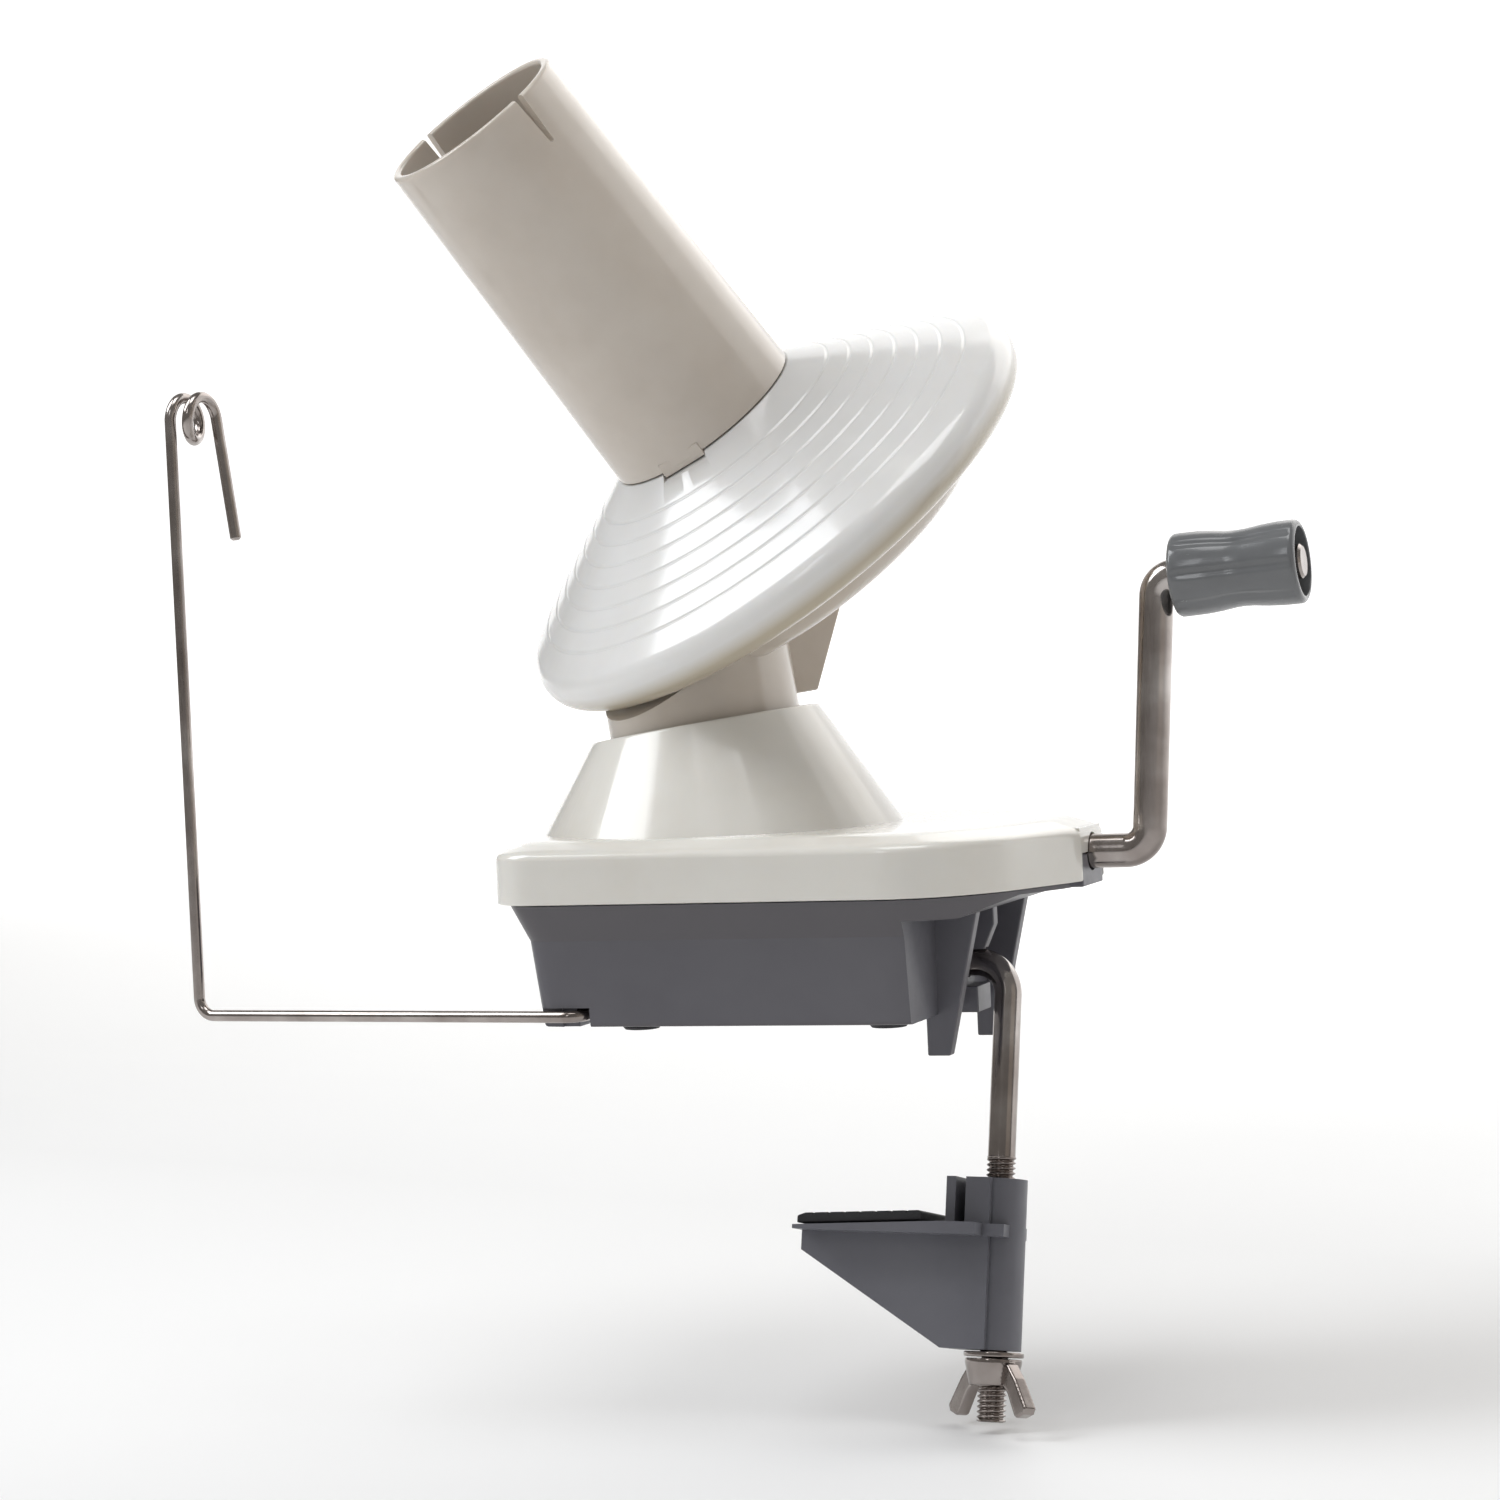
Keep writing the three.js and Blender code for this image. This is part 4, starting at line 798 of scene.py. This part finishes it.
def make_jaw():
    web = slab([(0, JAW_FOOT), (-9, JAW_FOOT), (JAW_TIP, -58.4), (JAW_TIP, -54), (0, -54)], -7, 7)
    plate = slab([(JAW_TIP, PLATE_FOOT), (JAW_TIP, -53.8), (-8, PLATE_TOP), (-1, PLATE_TOP),
                  (-1, PLATE_FOOT)], -13, 13)
    ledge = block(JAW_HEEL, 3.4, -8, 8, PLATE_FOOT, PLATE_TOP)
    heel = block(JAW_HEEL, 0, -7, 7, -53, JAW_TOP)
    body = join(web, plate, ledge, heel, disc(BOSS_R, JAW_FOOT, JAW_TOP, 96))
    heel_slot = block(-7, -4.95, -9, 5, PLATE_TOP, -42)
    grooves = [block(x - 0.3, x + 0.3, -12, 12, -52.8, -51.7) for x in (-11.2, -9.9)]
    return cut(body, heel_slot, disc(ROD_ROOM, -90, -30, 64), *grooves)


def make_pad():
    """Rubber pad with grooves across its sloped top."""
    profile = [(-37.8, -53.45), (-12.2, -52.07), (-12.2, -50.5), (-13, -50.2), (-36.2, -51.4), (-37.8, -52.0)]
    slope = 1.2 / 23.2
    grooves = []
    for x in [PAD_FIRST_RIB + PAD_RIB_PITCH * k for k in range(PAD_RIBS)]:
        z = -50.2 + (x + 13) * slope
        grooves.append(block(x - 0.35, x + 0.35, -13, 13, z - 0.45, z + 1))
    return cut(slab(profile, -12, 12, 0.3), *grooves)


def make_washer():
    return revolve("washer", [(ROD_ROOM, WASHER_FOOT), (5.9, WASHER_FOOT), (5.9, WASHER_TOP),
                              (ROD_ROOM, WASHER_TOP)], 96, 0.3)


def make_wing_nut():
    """Cast wing nut: a tapered hub and two wings, with all edges rounded."""
    hub = revolve("hub", [(ROD_ROOM, NUT_TOP), (5.6, NUT_TOP), (5.6, NUT_TOP - 0.8), (4.6, NUT_TOP - 5.2),
                          (ROD_ROOM, NUT_TOP - 5.2)], 72)
    wing = [(x, NUT_TOP - drop) for x, drop in ((4.2, 0.6), (6.8, 1), (9.4, 3.6), (13.6, 9.2), (13, 10.4),
                                                (10.6, 11.2), (9.8, 10.8), (7, 6.4), (4.2, 4.4))]
    wings = [place(slab(wing, -1.3, 1.3), turn("Z", degrees)) for degrees in (0, 180)]
    return melt(cut(join(hub, *wings), disc(ROD_ROOM, -90, -60, 48)), 0.2, 5)


# ------------------------------------------------------------------ assembly
piece(make_flange(), "flange", "spindle", "ivory_plastic", SPINDLE, IVORY_LIT, 40)
piece(make_tube(), "winding_tube", "spindle", "ivory_plastic", SPINDLE, IVORY_SHADED)
piece(make_carrier(), "carrier", "carrier", "ivory_plastic", HEAD, IVORY_SHADED)
piece(make_top_case(), "top_case", "base", "ivory_plastic")
piece(make_bottom_case(), "bottom_case", "base", "grey_plastic", WORLD, GREY_CASE)
piece(make_guide(), "yarn_guide", "guide", "plated_steel")
piece(make_crank(), "crank_rod", "crank", "plated_steel")
piece(make_grip(), "crank_handle", "handle", "grey_plastic", GRIP, GREY_GLOSS, 60)
piece(make_clamp_rod(), "clamp_rod", "clamp", "plated_steel", CLAMP, sharp=60)
piece(make_jaw(), "clamp_jaw", "jaw", "grey_plastic", CLAMP)
piece(make_pad(), "jaw_pad", "jaw", "black_rubber", CLAMP)
piece(make_washer(), "clamp_washer", "jaw", "plated_steel", CLAMP)
piece(make_wing_nut(), "wing_nut", "wing_nut", "plated_steel", CLAMP @ turn("Z", WING_TURN), sharp=80)


def dress_cad():
    """Gives every CAD node that stays visible its material and soft edges."""
    slots = {s["node"]: s["material_slot"] for s in frame["record"]["subparts"]}
    for name, obj in frame["nodes"].items():
        if obj.hide_render:
            continue
        finish_mesh(obj.data, FINISH[slots[name]])
        m = obj.modifiers.new("edge", "BEVEL")
        m.width, m.segments, m.limit_method, m.angle_limit = 0.00012, 2, "ANGLE", 35 * DEG


dress_cad()


# ------------------------------------------------------------------ stage, light, camera, in metres
FLOOR_GAP, FLOOR_HALF, FLOOR_FRONT = 0.0014, 6, -3.0
BACK_Y, BACK_CURVE, BACK_TOP = 2.2, 1.4, 4.5
GLOW_FROM, GLOW_TO, GLOW = 0.2, 1.5, 0.8
FLOOR_TURN = -20


def floor_material():
    """Pale and even; it shines towards the backdrop, and not under the winder."""
    mat, tree, shader = node_material("floor_white")
    pale = blend_colour(tree, noise(tree, 3, 2), [(0.3, (0.86, 0.86, 0.86)), (0.7, (0.88, 0.88, 0.88))])
    tree.links.new(pale, shader.inputs["Base Color"])
    shader.inputs["Roughness"].default_value = 0.6
    coord = tree.nodes.new("ShaderNodeTexCoord")
    split = tree.nodes.new("ShaderNodeSeparateXYZ")
    tree.links.new(coord.outputs["Object"], split.inputs["Vector"])
    glow = map_range(tree, split.outputs["Y"], GLOW_FROM, GLOW_TO, 0.0, GLOW)
    tree.links.new(glow, shader.inputs["Emission Strength"])
    shader.inputs["Emission Color"].default_value = (1, 1, 1, 1)
    return mat


def make_floor():
    """Pale floor that curves up into the backdrop far behind."""
    z0 = CAD_BOX[0][2] - FLOOR_GAP
    rows = [(FLOOR_FRONT, 0.0), (BACK_Y, 0.0)]
    rows += [(BACK_Y + BACK_CURVE * math.sin(a * DEG), BACK_CURVE * (1 - math.cos(a * DEG)))
             for a in range(5, 91, 5)]
    rows.append((BACK_Y + BACK_CURVE, BACK_TOP))
    verts = [(x, y, z0 + z) for y, z in rows for x in (-FLOOR_HALF, FLOOR_HALF)]
    faces = [(2 * k, 2 * k + 1, 2 * k + 3, 2 * k + 2) for k in range(len(rows) - 1)]
    floor = new_mesh("floor", verts, faces)
    floor.data.materials.append(floor_material())
    floor.data.shade_smooth()
    floor.rotation_euler = (0, 0, FLOOR_TURN * DEG)


def area_light(name, place_at, size, power, colour):
    """Soft rectangular light that faces the winder."""
    light = bpy.data.lights.new(name, "AREA")
    light.shape, light.size, light.size_y = "RECTANGLE", size[0], size[1]
    light.energy, light.color = power, colour
    obj = bpy.data.objects.new(name, light)
    bpy.context.scene.collection.objects.link(obj)
    obj.location = place_at
    obj.rotation_euler = (Vector(LIT_POINT) - Vector(place_at)).to_track_quat("-Z", "Y").to_euler()


def make_world():
    world = bpy.data.worlds.new("studio")
    bpy.context.scene.world = world
    world.use_nodes = True
    back = world.node_tree.nodes["Background"]
    back.inputs["Color"].default_value = (1.0, 0.97, 0.93, 1)
    back.inputs["Strength"].default_value = 0.27


def make_camera(place_at, degrees, lens):
    data = bpy.data.cameras.new("camera")
    data.sensor_width, data.lens, data.clip_end = 36, lens, 50
    data.dof.use_dof = False
    cam = bpy.data.objects.new("camera", data)
    bpy.context.scene.collection.objects.link(cam)
    cam.location = place_at
    cam.rotation_euler = [a * DEG for a in degrees]
    bpy.context.scene.camera = cam


make_floor()
make_world()
make_camera((0.2779, -0.7600, 0.0830), (87.799, 2.596, 19.900), 96)
LIT_POINT = (0, 0, 0.06)
area_light("key", (-0.85, -0.3, 0.95), (0.6, 0.8), 9.0, (0.95, 0.975, 1.0))
area_light("top", (0.1, -0.25, 1.4), (0.7, 0.7), 6.0, (0.98, 0.99, 1.0))
area_light("window", (-0.15, -1.2, 0.75), (0.16, 0.4), 0.85, (0.95, 0.97, 1.0))
area_light("fill", (1.1, -0.5, 0.1), (0.7, 0.9), 0.35, (1.0, 0.86, 0.7))
area_light("back", (0.3, 1.1, 0.9), (1.2, 0.8), 2.5, (1.0, 0.97, 0.93))
bpy.context.scene.view_settings.view_transform = "Standard"

bpy.context.view_layer.update()
